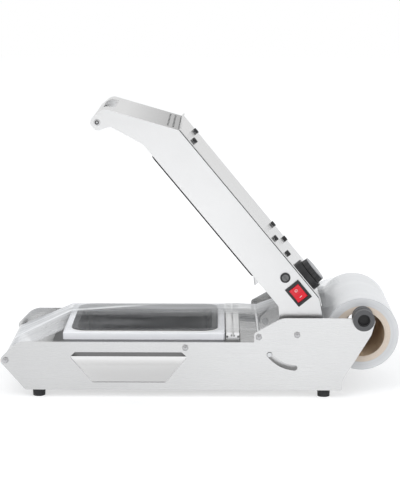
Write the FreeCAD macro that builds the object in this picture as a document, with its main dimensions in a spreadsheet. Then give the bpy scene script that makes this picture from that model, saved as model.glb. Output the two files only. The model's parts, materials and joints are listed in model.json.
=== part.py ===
"""Bench tray sealer with a swing arm, a lift-out tray, a sprung heater plate and a film roll.

Millimetres. +X runs from the handle end to the film roll, +Z is up, and the bench is at Z = 0.
Base pieces are drawn in this frame. Arm pieces are drawn in the arm's own frame, whose origin is
the hinge axis with the arm closed, and are then turned up to the open position.
"""

import FreeCAD, Part
import math
import os

import Sketcher

VECTOR = FreeCAD.Vector

SIZES = {
    # Tray, which sets the length and width of the machine
    "tray_long": 227.0,
    "tray_wide": 178.0,
    "tray_deep": 44.0,
    "tray_wall": 0.8,
    "tray_rim_thick": 1.0,
    "tray_flange": 8.0,
    "tray_draft": 11.0,
    "tray_corner": 24.0,
    "tray_floor_bevel": 5.0,
    # Mould and gasket
    "mould_front": -210.6,
    "mould_end_border": 11.0,
    "mould_side_border": 8.5,
    "mould_high": 11.0,
    "mould_gap": 1.0,
    "mould_corner": 3.0,
    "gasket_wide": 6.0,
    "gasket_high": 2.0,
    "gasket_proud": 1.0,
    "dowel_round": 6.0,
    "dowel_inset": 9.0,
    # Side plates, drawn from the mould's ends, the hinge and the spindle
    "side_plate_thick": 2.0,
    "nose_rod_ahead": 87.0,
    "nose_rod_level": 59.0,
    "nose_tip_ahead": 10.5,
    "nose_round": 7.5,
    "toe_ahead": 57.5,
    "brow_ahead": 69.5,
    "brow_round": 30.0,
    "rear_toe_ahead": 30.2,
    "rear_toe_level": 28.0,
    "rear_bend_behind": 12.8,
    "rear_bend_level": 100.0,
    "plate_end_behind": 19.8,
    "leg_round": 20.0,
    "shoulder_ahead": 23.0,
    "shoulder_round": 24.0,
    "tower_high": 26.0,
    "step_ahead": 7.0,
    "step_high": 14.0,
    "tab_round": 5.0,
    "plate_small_round": 3.0,
    "window_top_front_inset": 19.5,
    "window_top_rear_inset": 66.0,
    "window_mid_front_inset": 12.0,
    "window_mid_rear_inset": 58.0,
    "window_low_front_inset": 46.0,
    "window_low_rear_inset": 90.5,
    "window_top_level": 72.0,
    "window_mid_level": 64.5,
    "window_low_level": 24.5,
    # Feet, pan, deck and rear panel
    "foot_high": 12.5,
    "foot_wide": 20.0,
    "foot_taper": 0.6,
    "foot_well_round": 11.0,
    "foot_front_ahead": 38.0,
    "foot_rear_ahead": 57.7,
    "foot_inset": 14.0,
    "foot_head_high": 2.5,
    "pan_thick": 1.2,
    "pan_flange_high": 12.0,
    "pan_front_gap": 7.5,
    "pan_border_end": 20.0,
    "pan_border_side": 27.0,
    "deck_level": 88.0,
    "deck_thick": 1.5,
    "deck_ahead": 15.0,
    "deck_lip_high": 14.0,
    "deck_skirt_high": 26.7,
    "deck_well_gap": 3.0,
    "rear_panel_ahead": 52.2,
    "rear_panel_top": 52.0,
    # Cutter rail, rods and nuts
    "rail_gap": 2.0,
    "rail_wide": 20.0,
    "rail_high": 12.0,
    "groove_wide": 3.0,
    "groove_deep": 6.0,
    "side_groove_level": 4.2,
    "guide_rod_behind": 39.5,
    "guide_rod_high": 8.5,
    "guide_rod_round": 5.0,
    "nose_rod_round": 8.0,
    "stud_round": 4.8,
    "stud_fit": 0.1,
    "stud_proud": 3.5,
    "nut_round": 9.6,
    "nut_high": 5.0,
    "nut_rim_high": 2.4,
    "nut_tip_round": 4.0,
    "nut_bore_deep": 3.7,
    "post_inset": 60.5,
    "post_level": 79.5,
    "post_round": 7.0,
    # Hinge
    "blade_reach": 98.0,
    "seal_gap": 1.0,
    "pivot_round": 12.0,
    "running_gap": 0.05,
    "bush_wall": 2.5,
    "spring_room": 11.0,
    "open_angle": 50.4,
    "stop_reach": 52.1,
    "stop_angle": 266.8,
    "stop_pin_round": 7.0,
    "stop_head_round": 11.0,
    "stop_head_thick": 2.0,
    "stop_pin_proud": 2.0,
    "slot_wide": 8.6,
    "slot_end_gap": 0.3,
    # Film spindle and roll
    "roll_behind_hinge": 43.7,
    "spindle_high": 25.3,
    "spindle_round": 12.0,
    "journal_round": 16.0,
    "hub_round": 32.8,
    "hub_long": 12.0,
    "hub_recess_round": 19.0,
    "hub_recess_deep": 8.0,
    "hub_gap": 0.4,
    "collar_long": 14.0,
    "roll_round": 113.0,
    "core_round": 88.0,
    "core_bore": 70.0,
    "seat_gap": 0.3,
    "film_thick": 0.4,
    "film_side_spare": 2.0,
    "roll_side_spare": 2.0,
    # Arm walls, drawn from the hinge axis with the arm closed
    "arm_wall_thick": 1.5,
    "arm_side_gap": 1.0,
    "arm_under": 4.8,
    "arm_top": 60.0,
    "arm_rear": -20.0,
    "haunch_along": 6.0,
    "haunch_level": 46.0,
    "leg_rear_along": 46.0,
    "leg_rear_level": 14.0,
    "leg_rear_low": 52.0,
    "leg_bottom": -60.5,
    "leg_front_along": -14.0,
    "leg_front_level": -36.0,
    "leg_root_along": -34.0,
    "leg_root_level": -7.0,
    "leg_start_along": -50.0,
    "heel_round": 34.0,
    "toe_round": 11.8,
    "hip_round": 19.6,
    "palm_round": 6.9,
    "wrist_round": 29.4,
    "knuckle_round": 13.7,
    "handle_start_ahead": 18.0,
    "handle_under_ahead": 70.0,
    "handle_under_level": -16.0,
    "handle_nose_ahead": 87.3,
    "handle_nose_level": -27.0,
    "handle_nose_round": 19.6,
    "handle_nose_ease": 0.2,
    "handle_top_level": -6.0,
    "handle_bar_round": 10.0,
    "handle_screw_round": 4.0,
    "handle_head_round": 10.4,
    "handle_head_high": 2.0,
    # Cover, strap and panels of the arm
    "cover_thick": 1.2,
    "cover_lip": 3.0,
    "cover_fall": 6.0,
    "seal_thick": 1.2,
    "strap_thick": 1.5,
    "vent_long": 12.0,
    "vent_wide": 2.4,
    "vent_pitch": 18.0,
    "vent_low_level": 26.1,
    "vent_high_level": 37.4,
    "strap_vent_ahead": 8.0,
    "strap_vent_step": 7.0,
    "grip_wide": 110.0,
    "grip_high": 16.0,
    "electrics_floor_level": 24.0,
    "electrics_front": -88.0,
    "electrics_rear": -26.0,
    # Heater
    "heater_ahead": 1.0,
    "heater_behind": 12.0,
    "heater_side_gap": 3.5,
    "heater_front_gap": 5.0,
    "heater_under": 2.0,
    "heater_thick": 8.0,
    "heater_corner": 8.0,
    "heater_ease": 1.0,
    "element_wide": 6.5,
    "element_inset": 26.0,
    "element_gap": 18.0,
    "insulation_thick": 3.0,
    "bolt_round": 5.0,
    "bolt_front_inset": 25.0,
    "bolt_rear_inset": 19.5,
    "bolt_aside": 60.0,
    "bolt_gap": 0.4,
    "cap_nut_round": 9.0,
    "cap_nut_high": 4.5,
    "cap_nut_bore_deep": 2.35,
    "spring_round": 12.0,
    "spring_wire": 1.4,
    "counter_spring_round": 9.0,
    "counter_spring_wire": 1.6,
    # Cutter
    "blade_thick": 0.8,
    "blade_tip": -3.5,
    "blade_high": 18.0,
    "blade_side_spare": 4.0,
    "tooth_pitch": 5.0,
    "tooth_deep": 2.5,
    "holder_wide": 14.0,
    "holder_under": 4.0,
    "holder_high": 16.0,
    # Controls
    "knob_along": -53.0,
    "knob_inset": 38.5,
    "knob_round": 42.0,
    "knob_high": 10.5,
    "knob_bevel": 1.6,
    "knob_bore_deep": 4.85,
    "skirt_round": 50.0,
    "skirt_high": 9.0,
    "flute_round": 5.0,
    "flute_out": 1.0,
    "switch_along": -46.8,
    "switch_level": 41.0,
    "bezel_long": 33.6,
    "bezel_wide": 25.6,
    "bezel_proud": 2.0,
    "switch_long": 28.0,
    "switch_wide": 21.5,
    "switch_deep": 18.0,
    "rocker_long": 22.8,
    "rocker_wide": 17.5,
    "rocker_proud": 7.2,
    "rocker_sink": 5.0,
    "rocker_axis_sink": 0.5,
    "rocker_end_ease": 1.0,
    "rocker_room_deep": 9.0,
    "fuse_along": -78.3,
    "fuse_level": 40.8,
    "fuse_round": 15.5,
    "fuse_barrel_round": 12.0,
    "fuse_well_round": 10.5,
    "fuse_cap_round": 10.3,
    "fuse_cap_high": 4.0,
    "fuse_slot_wide": 1.4,
    "fuse_slot_deep": 1.0,
    "fuse_deep": 30.0,
    "thermostat_long": 34.0,
    "thermostat_deep": 24.0,
    "shaft_round": 6.0,
    "gland_along": -60.0,
    "gland_level": 42.0,
    "gland_round": 16.0,
    "gland_thread_round": 12.0,
    "gland_bore_round": 8.0,
    "gland_long": 14.0,
    "gland_thread_long": 7.0,
    "gland_nut_long": 3.5,
    "terminal_long": 30.0,
    "terminal_wide": 18.0,
    "terminal_high": 14.0,
    "terminal_well_round": 5.0,
}

# How many of each repeated feature
VENT_COUNT = 9
FLUTE_COUNT = 14
TERMINAL_COUNT = 3

# Extra length, on each side, of a shape that only cuts
THROUGH = 1.0

# How far a found corner may lie from the place asked for
NEAR = 0.02


class Size:
    """A length with the text of its formula, so that a piece follows the sheet."""

    def __init__(self, text, value):
        self.text = text
        self.value = value

    def _with(self, sign, other, value):
        return Size("(%s %s %s)" % (self.text, sign, words(other)), value)

    def __add__(self, other):
        return self._with("+", other, self.value + number(other))

    def __sub__(self, other):
        return self._with("-", other, self.value - number(other))

    def __mul__(self, other):
        return self._with("*", other, self.value * number(other))

    def __truediv__(self, other):
        return self._with("/", other, self.value / number(other))

    def __neg__(self):
        return Size("(0 - %s)" % self.text, -self.value)

    __radd__ = __add__
    __rmul__ = __mul__


def number(size):
    return size.value if isinstance(size, Size) else float(size)


def words(size):
    return size.text if isinstance(size, Size) else repr(float(size))


def cosine(angle):
    return Size("cos(%s)" % words(angle), math.cos(math.radians(number(angle))))


def sine(angle):
    return Size("sin(%s)" % words(angle), math.sin(math.radians(number(angle))))


def root(size):
    return Size("sqrt(%s)" % words(size), math.sqrt(number(size)))


def arcsine(size):
    """The angle in degrees whose sine is given."""
    return Size("(asin(%s) / 1 deg)" % words(size), math.degrees(math.asin(number(size))))


doc = FreeCAD.newDocument("TraySealer")
sheet = doc.addObject("Spreadsheet::Sheet", "Sizes")
for row, (alias, value) in enumerate(SIZES.items(), start=1):
    sheet.set("A%d" % row, repr(value))
    sheet.setAlias("A%d" % row, alias)
doc.recompute()


def size(alias):
    return Size("Sizes.%s" % alias, float(sheet.get(alias)))


class Named:
    """Gives every size of the sheet as an attribute."""

    def __getattr__(self, alias):
        return size(alias)


S = Named()

RIGHT, LEFT = -1, 1


# Places along the machine, chained from the mould's front

MOULD_LONG = S.tray_long + S.mould_end_border * 2
MOULD_REAR = S.mould_front + MOULD_LONG
MOULD_MIDDLE = S.mould_front + MOULD_LONG / 2
RAIL_ALONG = MOULD_REAR + S.rail_gap + S.rail_wide / 2
DECK_FRONT = S.mould_front - S.deck_ahead
DECK_REAR = RAIL_ALONG + S.rail_wide / 2 + S.rail_gap
GUIDE_ROD_ALONG = RAIL_ALONG + S.guide_rod_behind
STEP_ALONG = GUIDE_ROD_ALONG - S.step_ahead
PIVOT_ALONG = RAIL_ALONG + S.blade_reach
SHOULDER_ALONG = PIVOT_ALONG - S.shoulder_ahead
SPINDLE_ALONG = PIVOT_ALONG + S.roll_round / 2 + S.roll_behind_hinge
NOSE_ROD_ALONG = S.mould_front - S.nose_rod_ahead
NOSE_TIP_ALONG = NOSE_ROD_ALONG - S.nose_tip_ahead
PLATE_FRONT_TOE = S.mould_front - S.toe_ahead
PLATE_FRONT_TOP = S.mould_front - S.brow_ahead
PLATE_REAR_TOE = SPINDLE_ALONG - S.rear_toe_ahead
REAR_BEND_ALONG = SPINDLE_ALONG + S.rear_bend_behind
PLATE_REAR_END = SPINDLE_ALONG + S.plate_end_behind
REAR_PANEL_ALONG = SPINDLE_ALONG - S.rear_panel_ahead
FOOT_FRONT_ALONG = S.mould_front - S.foot_front_ahead
FOOT_REAR_ALONG = SPINDLE_ALONG - S.foot_rear_ahead
POST_ALONG = MOULD_REAR - S.post_inset

# Widths, chained from the tray's

MOULD_WIDE = S.tray_wide + S.mould_side_border * 2
ARM_IN = MOULD_WIDE / 2 + S.arm_side_gap
ARM_OUT = ARM_IN + S.arm_wall_thick
HALF_IN = ARM_OUT + S.spring_room
HALF_OUT = HALF_IN + S.side_plate_thick
FILM_WIDE = S.tray_wide + S.film_side_spare * 2
ROLL_LONG = FILM_WIDE + S.roll_side_spare * 2
BLADE_LONG = FILM_WIDE + S.blade_side_spare * 2
HEATER_WIDE = MOULD_WIDE - S.heater_side_gap * 2
RAIL_LONG = ARM_OUT * 2
KNOB_ACROSS = S.knob_inset - ARM_IN

# Levels, chained from the deck's

MOULD_TOP = S.deck_level + S.mould_high
GASKET_TOP = MOULD_TOP + S.gasket_proud
PIVOT_LEVEL = GASKET_TOP + S.tray_rim_thick + S.seal_gap - S.heater_under
STEP_LEVEL = S.deck_level + S.step_high
GUIDE_ROD_LEVEL = S.deck_level + S.guide_rod_high
TOWER_TOP_LEVEL = PIVOT_LEVEL + S.tower_high
SPINDLE_LEVEL = PIVOT_LEVEL + S.spindle_high
ROLL_LEVEL = SPINDLE_LEVEL + S.spindle_round / 2 + S.seat_gap - S.core_bore / 2

# Places in the arm's own frame, over the closed tray

BLADE_ALONG = -S.blade_reach
HEATER_FRONT = S.mould_front + S.mould_end_border - S.heater_ahead - PIVOT_ALONG
HEATER_REAR = MOULD_REAR - S.mould_end_border + S.heater_behind - PIVOT_ALONG
ARM_FRONT = HEATER_FRONT - S.heater_front_gap
HANDLE_START = ARM_FRONT - S.handle_start_ahead
HANDLE_UNDER_ALONG = ARM_FRONT - S.handle_under_ahead
HANDLE_NOSE_ALONG = ARM_FRONT - S.handle_nose_ahead
BOLT_FRONT = HEATER_FRONT + S.bolt_front_inset
BOLT_REAR = HEATER_REAR - S.bolt_rear_inset


# Drawing helpers

def bind(thing, path, value):
    """Sets a property of an object and ties it to the sheet."""
    if path.isidentifier():
        setattr(thing, path, number(value))
    if isinstance(value, Size):
        thing.setExpression(path, value.text)


def place(thing, along=0.0, across=0.0, up=0.0):
    thing.Placement.Base = VECTOR(number(along), number(across), number(up))
    for path, value in (("x", along), ("y", across), ("z", up)):
        bind(thing, ".Placement.Base.%s" % path, value)


def on_arm(thing):
    """Carries a piece drawn in the arm's frame to the hinge, with the arm open."""
    turn = FreeCAD.Rotation(VECTOR(0, 1, 0), number(S.open_angle))
    thing.Placement = FreeCAD.Placement(VECTOR(number(PIVOT_ALONG), 0, number(PIVOT_LEVEL)), turn)
    bind(thing, ".Placement.Base.x", PIVOT_ALONG)
    bind(thing, ".Placement.Base.z", PIVOT_LEVEL)
    bind(thing, ".Placement.Rotation.Angle", S.open_angle)
    return thing


def new_body(name):
    return doc.addObject("PartDesign::Body", name + "_form")


def new_sketch(body, role, name, offset=0.0):
    plane = [f for f in body.Origin.OriginFeatures if f.Role == role][0]
    sketch = body.newObject("Sketcher::SketchObject", "%s_%s" % (body.Name, name))
    sketch.AttachmentSupport = [(plane, "")]
    sketch.MapMode = "FlatFace"
    sketch.AttachmentOffset = FreeCAD.Placement(VECTOR(0, 0, number(offset)), FreeCAD.Rotation())
    bind(sketch, ".AttachmentOffset.Base.z", offset)
    return sketch


def pin_point(sketch, edge, end, across, up):
    for kind, value in (("DistanceX", across), ("DistanceY", up)):
        index = sketch.addConstraint(Sketcher.Constraint(kind, -1, 1, edge, end, number(value)))
        bind(sketch, "Constraints[%d]" % index, value)


def polygon(sketch, points):
    """A closed outline, each corner held by its two distances from the origin."""
    first = sketch.GeometryCount
    count = len(points)
    corners = [VECTOR(number(x), number(y), 0) for x, y in points]
    for i in range(count):
        sketch.addGeometry(Part.LineSegment(corners[i], corners[(i + 1) % count]), False)
    for i in range(count):
        following = first + (i + 1) % count
        sketch.addConstraint(Sketcher.Constraint("Coincident", first + i, 2, following, 1))
    for i, (x, y) in enumerate(points):
        pin_point(sketch, first + i, 1, x, y)


def rectangle(sketch, low_x, low_y, high_x, high_y):
    polygon(sketch, [(low_x, low_y), (high_x, low_y), (high_x, high_y), (low_x, high_y)])


def rounded_rectangle(sketch, low_x, low_y, high_x, high_y, radius):
    """A rectangle with an arc at each corner, every end held by its distances from the origin."""
    sides = [
        ((low_x + radius, low_y), (high_x - radius, low_y)),
        ((high_x, low_y + radius), (high_x, high_y - radius)),
        ((high_x - radius, high_y), (low_x + radius, high_y)),
        ((low_x, high_y - radius), (low_x, low_y + radius)),
    ]
    centres = [(high_x - radius, low_y + radius), (high_x - radius, high_y - radius),
               (low_x + radius, high_y - radius), (low_x + radius, low_y + radius)]
    for start, end in sides:
        ends = [VECTOR(number(x), number(y), 0) for x, y in (start, end)]
        sketch.addGeometry(Part.LineSegment(*ends), False)
    for turn, (x, y) in enumerate(centres):
        whole = Part.Circle(VECTOR(number(x), number(y), 0), VECTOR(0, 0, 1), number(radius))
        begin = math.radians(90 * (turn - 1))
        sketch.addGeometry(Part.ArcOfCircle(whole, begin, begin + math.pi / 2), False)
    for side, (start, end) in enumerate(sides):
        arc = side + len(sides)
        following = (side + 1) % len(sides)
        sketch.addConstraint(Sketcher.Constraint("Coincident", side, 2, arc, 1))
        sketch.addConstraint(Sketcher.Constraint("Coincident", arc, 2, following, 1))
        pin_point(sketch, side, 1, *start)
        pin_point(sketch, side, 2, *end)
        index = sketch.addConstraint(Sketcher.Constraint("Radius", arc, number(radius)))
        bind(sketch, "Constraints[%d]" % index, radius)


def circle(sketch, x, y, diameter):
    centre = VECTOR(number(x), number(y), 0)
    edge = sketch.addGeometry(Part.Circle(centre, VECTOR(0, 0, 1), number(diameter) / 2), False)
    pin_point(sketch, edge, 3, x, y)
    index = sketch.addConstraint(Sketcher.Constraint("Diameter", edge, number(diameter)))
    bind(sketch, "Constraints[%d]" % index, diameter)


def pad(body, sketch, length, midplane=False):
    feature = body.newObject("PartDesign::Pad", "%s_Pad" % sketch.Name)
    feature.Profile = sketch
    bind(feature, "Length", length)
    feature.Midplane = midplane
    body.Tip = feature
    doc.recompute()
    return feature


def edges_where(shape, test):
    return ["Edge%d" % (i + 1) for i, edge in enumerate(shape.Edges) if test(edge)]


def is_straight(edge):
    return isinstance(edge.Curve, (Part.Line, Part.LineSegment))


def dress_edges(body, kind, test, amount, name):
    """Rounds or bevels the edges of the body that pass the test."""
    base = body.Tip
    chosen = edges_where(base.Shape, test)
    feature = body.newObject("PartDesign::" + kind, "%s_%s" % (body.Name, name))
    feature.Base = (base, chosen)
    bind(feature, "Radius" if kind == "Fillet" else "Size", amount)
    body.Tip = feature
    doc.recompute()
    return feature


def flat_at(level):
    """Picks the edges that lie at one height."""
    height = number(level)
    return lambda edge: all(abs(v.Point.z - height) < NEAR for v in edge.Vertexes)


def upright_corner(axes, corners):
    """Picks the edges that stand on the given corners of a sketch."""
    spots = [(number(a), number(b)) for a, b in corners]

    def test(edge):
        if len(edge.Vertexes) != 2 or not is_straight(edge):
            return False
        ends = [[getattr(v.Point, axis) for axis in axes] for v in edge.Vertexes]
        return any(all(math.dist(end, spot) < NEAR for end in ends) for spot in spots)

    return test


def round_corners(body, axes, corners, radius, name):
    return dress_edges(body, "Fillet", upright_corner(axes, corners), radius, name)


AIM = {
    "x": FreeCAD.Rotation(VECTOR(0, 1, 0), 90),
    "y": FreeCAD.Rotation(VECTOR(1, 0, 0), -90),
    "z": FreeCAD.Rotation(),
}


def cylinder(name, diameter, length, along=0.0, across=0.0, up=0.0, aim="y"):
    """A round bar that runs from its point along +X, +Y or +Z."""
    bar = doc.addObject("Part::Cylinder", name)
    bind(bar, "Radius", diameter / 2)
    bind(bar, "Height", length)
    bar.Placement.Rotation = AIM[aim]
    place(bar, along, across, up)
    return bar


def block(name, long, wide, high, along=0.0, across=0.0, up=0.0):
    """A rectangular block from its lowest corner."""
    solid = doc.addObject("Part::Box", name)
    for path, value in (("Length", long), ("Width", wide), ("Height", high)):
        bind(solid, path, value)
    place(solid, along, across, up)
    return solid


def hexagon(name, wide, high, along=0.0, across=0.0, up=0.0):
    """An upright six-sided prism, as wide across its corners as given."""
    prism = doc.addObject("Part::Prism", name)
    prism.Polygon = 6
    bind(prism, "Circumradius", wide / 2)
    bind(prism, "Height", high)
    place(prism, along, across, up)
    return prism


def ring(name, outer, inner, length, along=0.0, across=0.0, up=0.0, aim="y"):
    outside = cylinder(name + "_out", outer, length, along, across, up, aim)
    inside = cylinder(name + "_in", inner, length, along, across, up, aim)
    return cut(name, outside, [inside])


def fuse(name, shapes):
    joined = doc.addObject("Part::MultiFuse", name)
    joined.Shapes = shapes
    joined.Refine = True
    return joined


def cut(name, base, tools):
    result = doc.addObject("Part::Cut", name)
    result.Base = base
    result.Tool = tools[0] if len(tools) == 1 else fuse(name + "_tools", tools)
    result.Refine = True
    return result


def group(name, shapes):
    """Separate alike solids that share one name."""
    several = doc.addObject("Part::Compound", name)
    several.Links = shapes
    return several


PARTS = []


def finish(label, thing):
    """Names a sub-part and lists it for writing."""
    thing.Label = label
    PARTS.append(thing)
    return thing


# Places that several pieces share

SPINDLE_NOTCH = S.journal_round + S.running_gap * 2
STUD_HOLE = S.stud_round + S.stud_fit * 2
OPEN_STOP_ANGLE = S.stop_angle - S.open_angle
SLOT_SLACK = (S.slot_wide - S.stop_pin_round) / 2 - S.slot_end_gap
SLOT_SLACK_ANGLE = SLOT_SLACK / S.stop_reach * (180 / math.pi)
SLOT_START = OPEN_STOP_ANGLE + SLOT_SLACK_ANGLE
SLOT_END = S.stop_angle - SLOT_SLACK_ANGLE
STOP_ALONG = PIVOT_ALONG + S.stop_reach * cosine(OPEN_STOP_ANGLE)
STOP_LEVEL = PIVOT_LEVEL + S.stop_reach * sine(OPEN_STOP_ANGLE)
SPRING_ASIDE = (HALF_IN + ARM_OUT) / 2
NUT_AXES = {
    "nose": (NOSE_ROD_ALONG, S.nose_rod_level),
    "post": (POST_ALONG, S.post_level),
    "guide": (GUIDE_ROD_ALONG, GUIDE_ROD_LEVEL),
    "pivot": (PIVOT_ALONG, PIVOT_LEVEL),
}


# Base

def window_outline():
    """The six-sided window under the mould."""
    front, rear = S.mould_front, MOULD_REAR
    return [
        (front + S.window_top_front_inset, S.window_top_level),
        (front + S.window_mid_front_inset, S.window_mid_level),
        (front + S.window_low_front_inset, S.window_low_level),
        (rear - S.window_low_rear_inset, S.window_low_level),
        (rear - S.window_mid_rear_inset, S.window_mid_level),
        (rear - S.window_top_rear_inset, S.window_top_level),
    ]


def side_plate(label, side):
    """One upright plate with its window, stud holes, stop slot and open spindle notch."""
    body = new_body(label)
    offset = HALF_IN if side == RIGHT else -HALF_OUT
    sketch = new_sketch(body, "XZ_Plane", "Outline", offset)
    toe = (PLATE_FRONT_TOE, S.foot_high)
    heel = (PLATE_REAR_TOE, S.foot_high)
    instep = (PLATE_REAR_TOE, S.rear_toe_level)
    calf = (REAR_BEND_ALONG, S.rear_bend_level)
    lip = (PLATE_REAR_END, TOWER_TOP_LEVEL)
    shoulder = (SHOULDER_ALONG, TOWER_TOP_LEVEL)
    tab = (STEP_ALONG, STEP_LEVEL)
    nook = (STEP_ALONG, S.deck_level)
    brow = (PLATE_FRONT_TOP, S.deck_level)
    nose = (NOSE_TIP_ALONG, S.nose_rod_level)
    window = window_outline()
    polygon(sketch, [toe, heel, instep, calf, lip, shoulder, tab, nook, brow, nose])
    polygon(sketch, window)
    for along, level in NUT_AXES.values():
        circle(sketch, along, level, STUD_HOLE)
    pad(body, sketch, S.side_plate_thick)
    round_corners(body, "xz", [instep, calf], S.leg_round, "LegRound")
    round_corners(body, "xz", [nose], S.nose_round, "NoseRound")
    round_corners(body, "xz", [brow], S.brow_round, "BrowRound")
    round_corners(body, "xz", [shoulder], S.shoulder_round, "ShoulderRound")
    round_corners(body, "xz", [tab, lip], S.tab_round, "TabRound")
    round_corners(body, "xz", [toe, heel] + window, S.plate_small_round, "SmallRound")

    low = -HALF_OUT - THROUGH if side == RIGHT else HALF_IN - THROUGH
    through = S.side_plate_thick + THROUGH * 2
    notch = cylinder(label + "_notch", SPINDLE_NOTCH, through, SPINDLE_ALONG, low, SPINDLE_LEVEL)
    mouth = block(label + "_mouth", SPINDLE_NOTCH, through, S.hub_round,
                  SPINDLE_ALONG - SPINDLE_NOTCH / 2, low, SPINDLE_LEVEL)
    tools = [notch, mouth, stop_slot(label, low, through)]
    return finish(label, cut(label + "_cut", body, tools))


def stop_slot(label, low, through):
    """A curved slot about the hinge for the arm's stop pin."""
    reach = S.stop_reach * 2
    outer = cylinder(label + "_slot_out", reach + S.slot_wide, through, PIVOT_ALONG, low, PIVOT_LEVEL)
    inner = cylinder(label + "_slot_in", reach - S.slot_wide, through, PIVOT_ALONG, low, PIVOT_LEVEL)
    span = SLOT_END - SLOT_START
    bind(outer, "Angle", span)
    # The sector opens clockwise from its own X axis, so that axis is turned to the slot's shut end.
    turn = FreeCAD.Rotation(VECTOR(0, 1, 0), -number(SLOT_END))
    outer.Placement.Rotation = turn.multiply(AIM["y"])
    ends = []
    for word, angle in (("open", SLOT_START), ("shut", SLOT_END)):
        along = PIVOT_ALONG + S.stop_reach * cosine(angle)
        level = PIVOT_LEVEL + S.stop_reach * sine(angle)
        ends.append(cylinder("%s_slot_%s" % (label, word), S.slot_wide, through, along, low, level))
    sector = cut(label + "_slot_sector", outer, [inner])
    return fuse(label + "_slot", [sector] + ends)


def bottom_pan():
    """A floor, open in its middle, with a turned-up flange along each side plate."""
    body = new_body("bottom_pan")
    front = PLATE_FRONT_TOE + S.pan_front_gap
    sketch = new_sketch(body, "YZ_Plane", "Section", front)
    floor = S.foot_high
    inside = HALF_IN - S.pan_thick
    top = floor + S.pan_flange_high
    ledge = floor + S.pan_thick
    polygon(sketch, [
        (-HALF_IN, floor), (HALF_IN, floor), (HALF_IN, top), (inside, top),
        (inside, ledge), (-inside, ledge), (-inside, top), (-HALF_IN, top),
    ])
    long = REAR_PANEL_ALONG - front
    pad(body, sketch, long)
    aside = HALF_IN - S.pan_border_side
    opening = block("pan_opening", long - S.pan_border_end * 2, aside * 2, S.pan_thick + THROUGH * 2,
                    front + S.pan_border_end, -aside, floor - THROUGH)
    bores = [cylinder("pan_bore_%d" % i, STUD_HOLE, S.pan_thick + THROUGH * 2, x, y, floor - THROUGH, "z")
             for i, (x, y) in enumerate(foot_spots())]
    return finish("bottom_pan", cut("pan_cut", body, [opening] + bores))


def foot_spots():
    aside = HALF_IN - S.foot_inset
    return [(x, y) for x in (FOOT_FRONT_ALONG, FOOT_REAR_ALONG) for y in (-aside, aside)]


def rubber_feet():
    """Four turned feet, each hollowed for its screw head."""
    feet = []
    for i, (along, across) in enumerate(foot_spots()):
        foot = doc.addObject("Part::Cone", "foot_%d" % i)
        bind(foot, "Radius1", S.foot_wide / 2 - S.foot_taper)
        bind(foot, "Radius2", S.foot_wide / 2)
        bind(foot, "Height", S.foot_high)
        place(foot, along, across, 0.0)
        well = cylinder("foot_well_%d" % i, S.foot_well_round, S.foot_high / 2, along, across, 0.0, "z")
        bore = cylinder("foot_bore_%d" % i, STUD_HOLE, S.foot_high, along, across, 0.0, "z")
        feet.append(cut("foot_cut_%d" % i, foot, [well, bore]))
    return finish("rubber_feet", group("feet", feet))


def foot_screws():
    """Screws up through the feet and the pan, each with its nut."""
    screws = []
    seat = S.foot_high / 2
    ledge = S.foot_high + S.pan_thick
    tip = ledge + S.nut_high
    for i, (along, across) in enumerate(foot_spots()):
        head = cylinder("foot_head_%d" % i, S.nut_round, S.foot_head_high,
                        along, across, seat - S.foot_head_high, "z")
        shank = cylinder("foot_shank_%d" % i, S.stud_round, tip - seat, along, across, seat, "z")
        nut = hexagon("foot_nut_%d" % i, S.nut_round, S.nut_high, along, across, ledge)
        screws.append(fuse("foot_screw_%d" % i, [head, shank, nut]))
    return finish("foot_screws", group("foot_fixings", screws))


def rear_panel():
    """The upright sheet that closes the base under the roll."""
    panel = block("rear_panel_sheet", S.side_plate_thick, HALF_IN * 2, S.rear_panel_top - S.foot_high,
                  REAR_PANEL_ALONG, -HALF_IN, S.foot_high)
    return finish("rear_panel", panel)


TRAY_TUB_LONG = S.tray_long - S.tray_flange * 2
TRAY_TUB_WIDE = S.tray_wide - S.tray_flange * 2
WELL_LONG = TRAY_TUB_LONG + S.mould_gap * 2
WELL_WIDE = TRAY_TUB_WIDE + S.mould_gap * 2
WELL_CORNER = S.tray_corner - S.tray_flange + S.mould_gap


def rounded_slab(name, long, wide, thick, level, corner, middle=MOULD_MIDDLE):
    """A flat slab with round corners, centred across the machine."""
    body = new_body(name)
    sketch = new_sketch(body, "XY_Plane", "Outline", level)
    low_x, high_x = middle - long / 2, middle + long / 2
    low_y, high_y = -wide / 2, wide / 2
    rectangle(sketch, low_x, low_y, high_x, high_y)
    pad(body, sketch, thick)
    corners = [(x, y) for x in (low_x, high_x) for y in (low_y, high_y)]
    round_corners(body, "xy", corners, corner, "Corners")
    return body


def deck_plate():
    """The sheet under the mould, opened for the tray, lipped in front and skirted along its sides."""
    body = new_body("deck_plate")
    sketch = new_sketch(body, "XZ_Plane", "Section", -HALF_IN)
    under = S.deck_level - S.deck_thick
    low = S.deck_level - S.deck_lip_high
    behind = DECK_FRONT + S.deck_thick
    polygon(sketch, [
        (DECK_FRONT, S.deck_level), (DECK_REAR, S.deck_level), (DECK_REAR, under),
        (behind, under), (behind, low), (DECK_FRONT, low),
    ])
    pad(body, sketch, HALF_IN * 2)
    shapes = [body]
    for word, across in (("right", -MOULD_WIDE / 2), ("left", MOULD_WIDE / 2 - S.deck_thick)):
        shapes.append(block("deck_skirt_" + word, MOULD_LONG, S.deck_thick, S.deck_skirt_high,
                            S.mould_front, across, S.deck_level - S.deck_skirt_high))
    gap = S.deck_well_gap
    well = rounded_slab("deck_well", WELL_LONG + gap * 2, WELL_WIDE + gap * 2, S.deck_thick + THROUGH * 2,
                        under - THROUGH, WELL_CORNER + gap)
    tools = [well] + dowels("deck_hole", S.stud_fit)
    return finish("deck_plate", cut("deck_cut", fuse("deck_sheet", shapes), tools))


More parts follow.
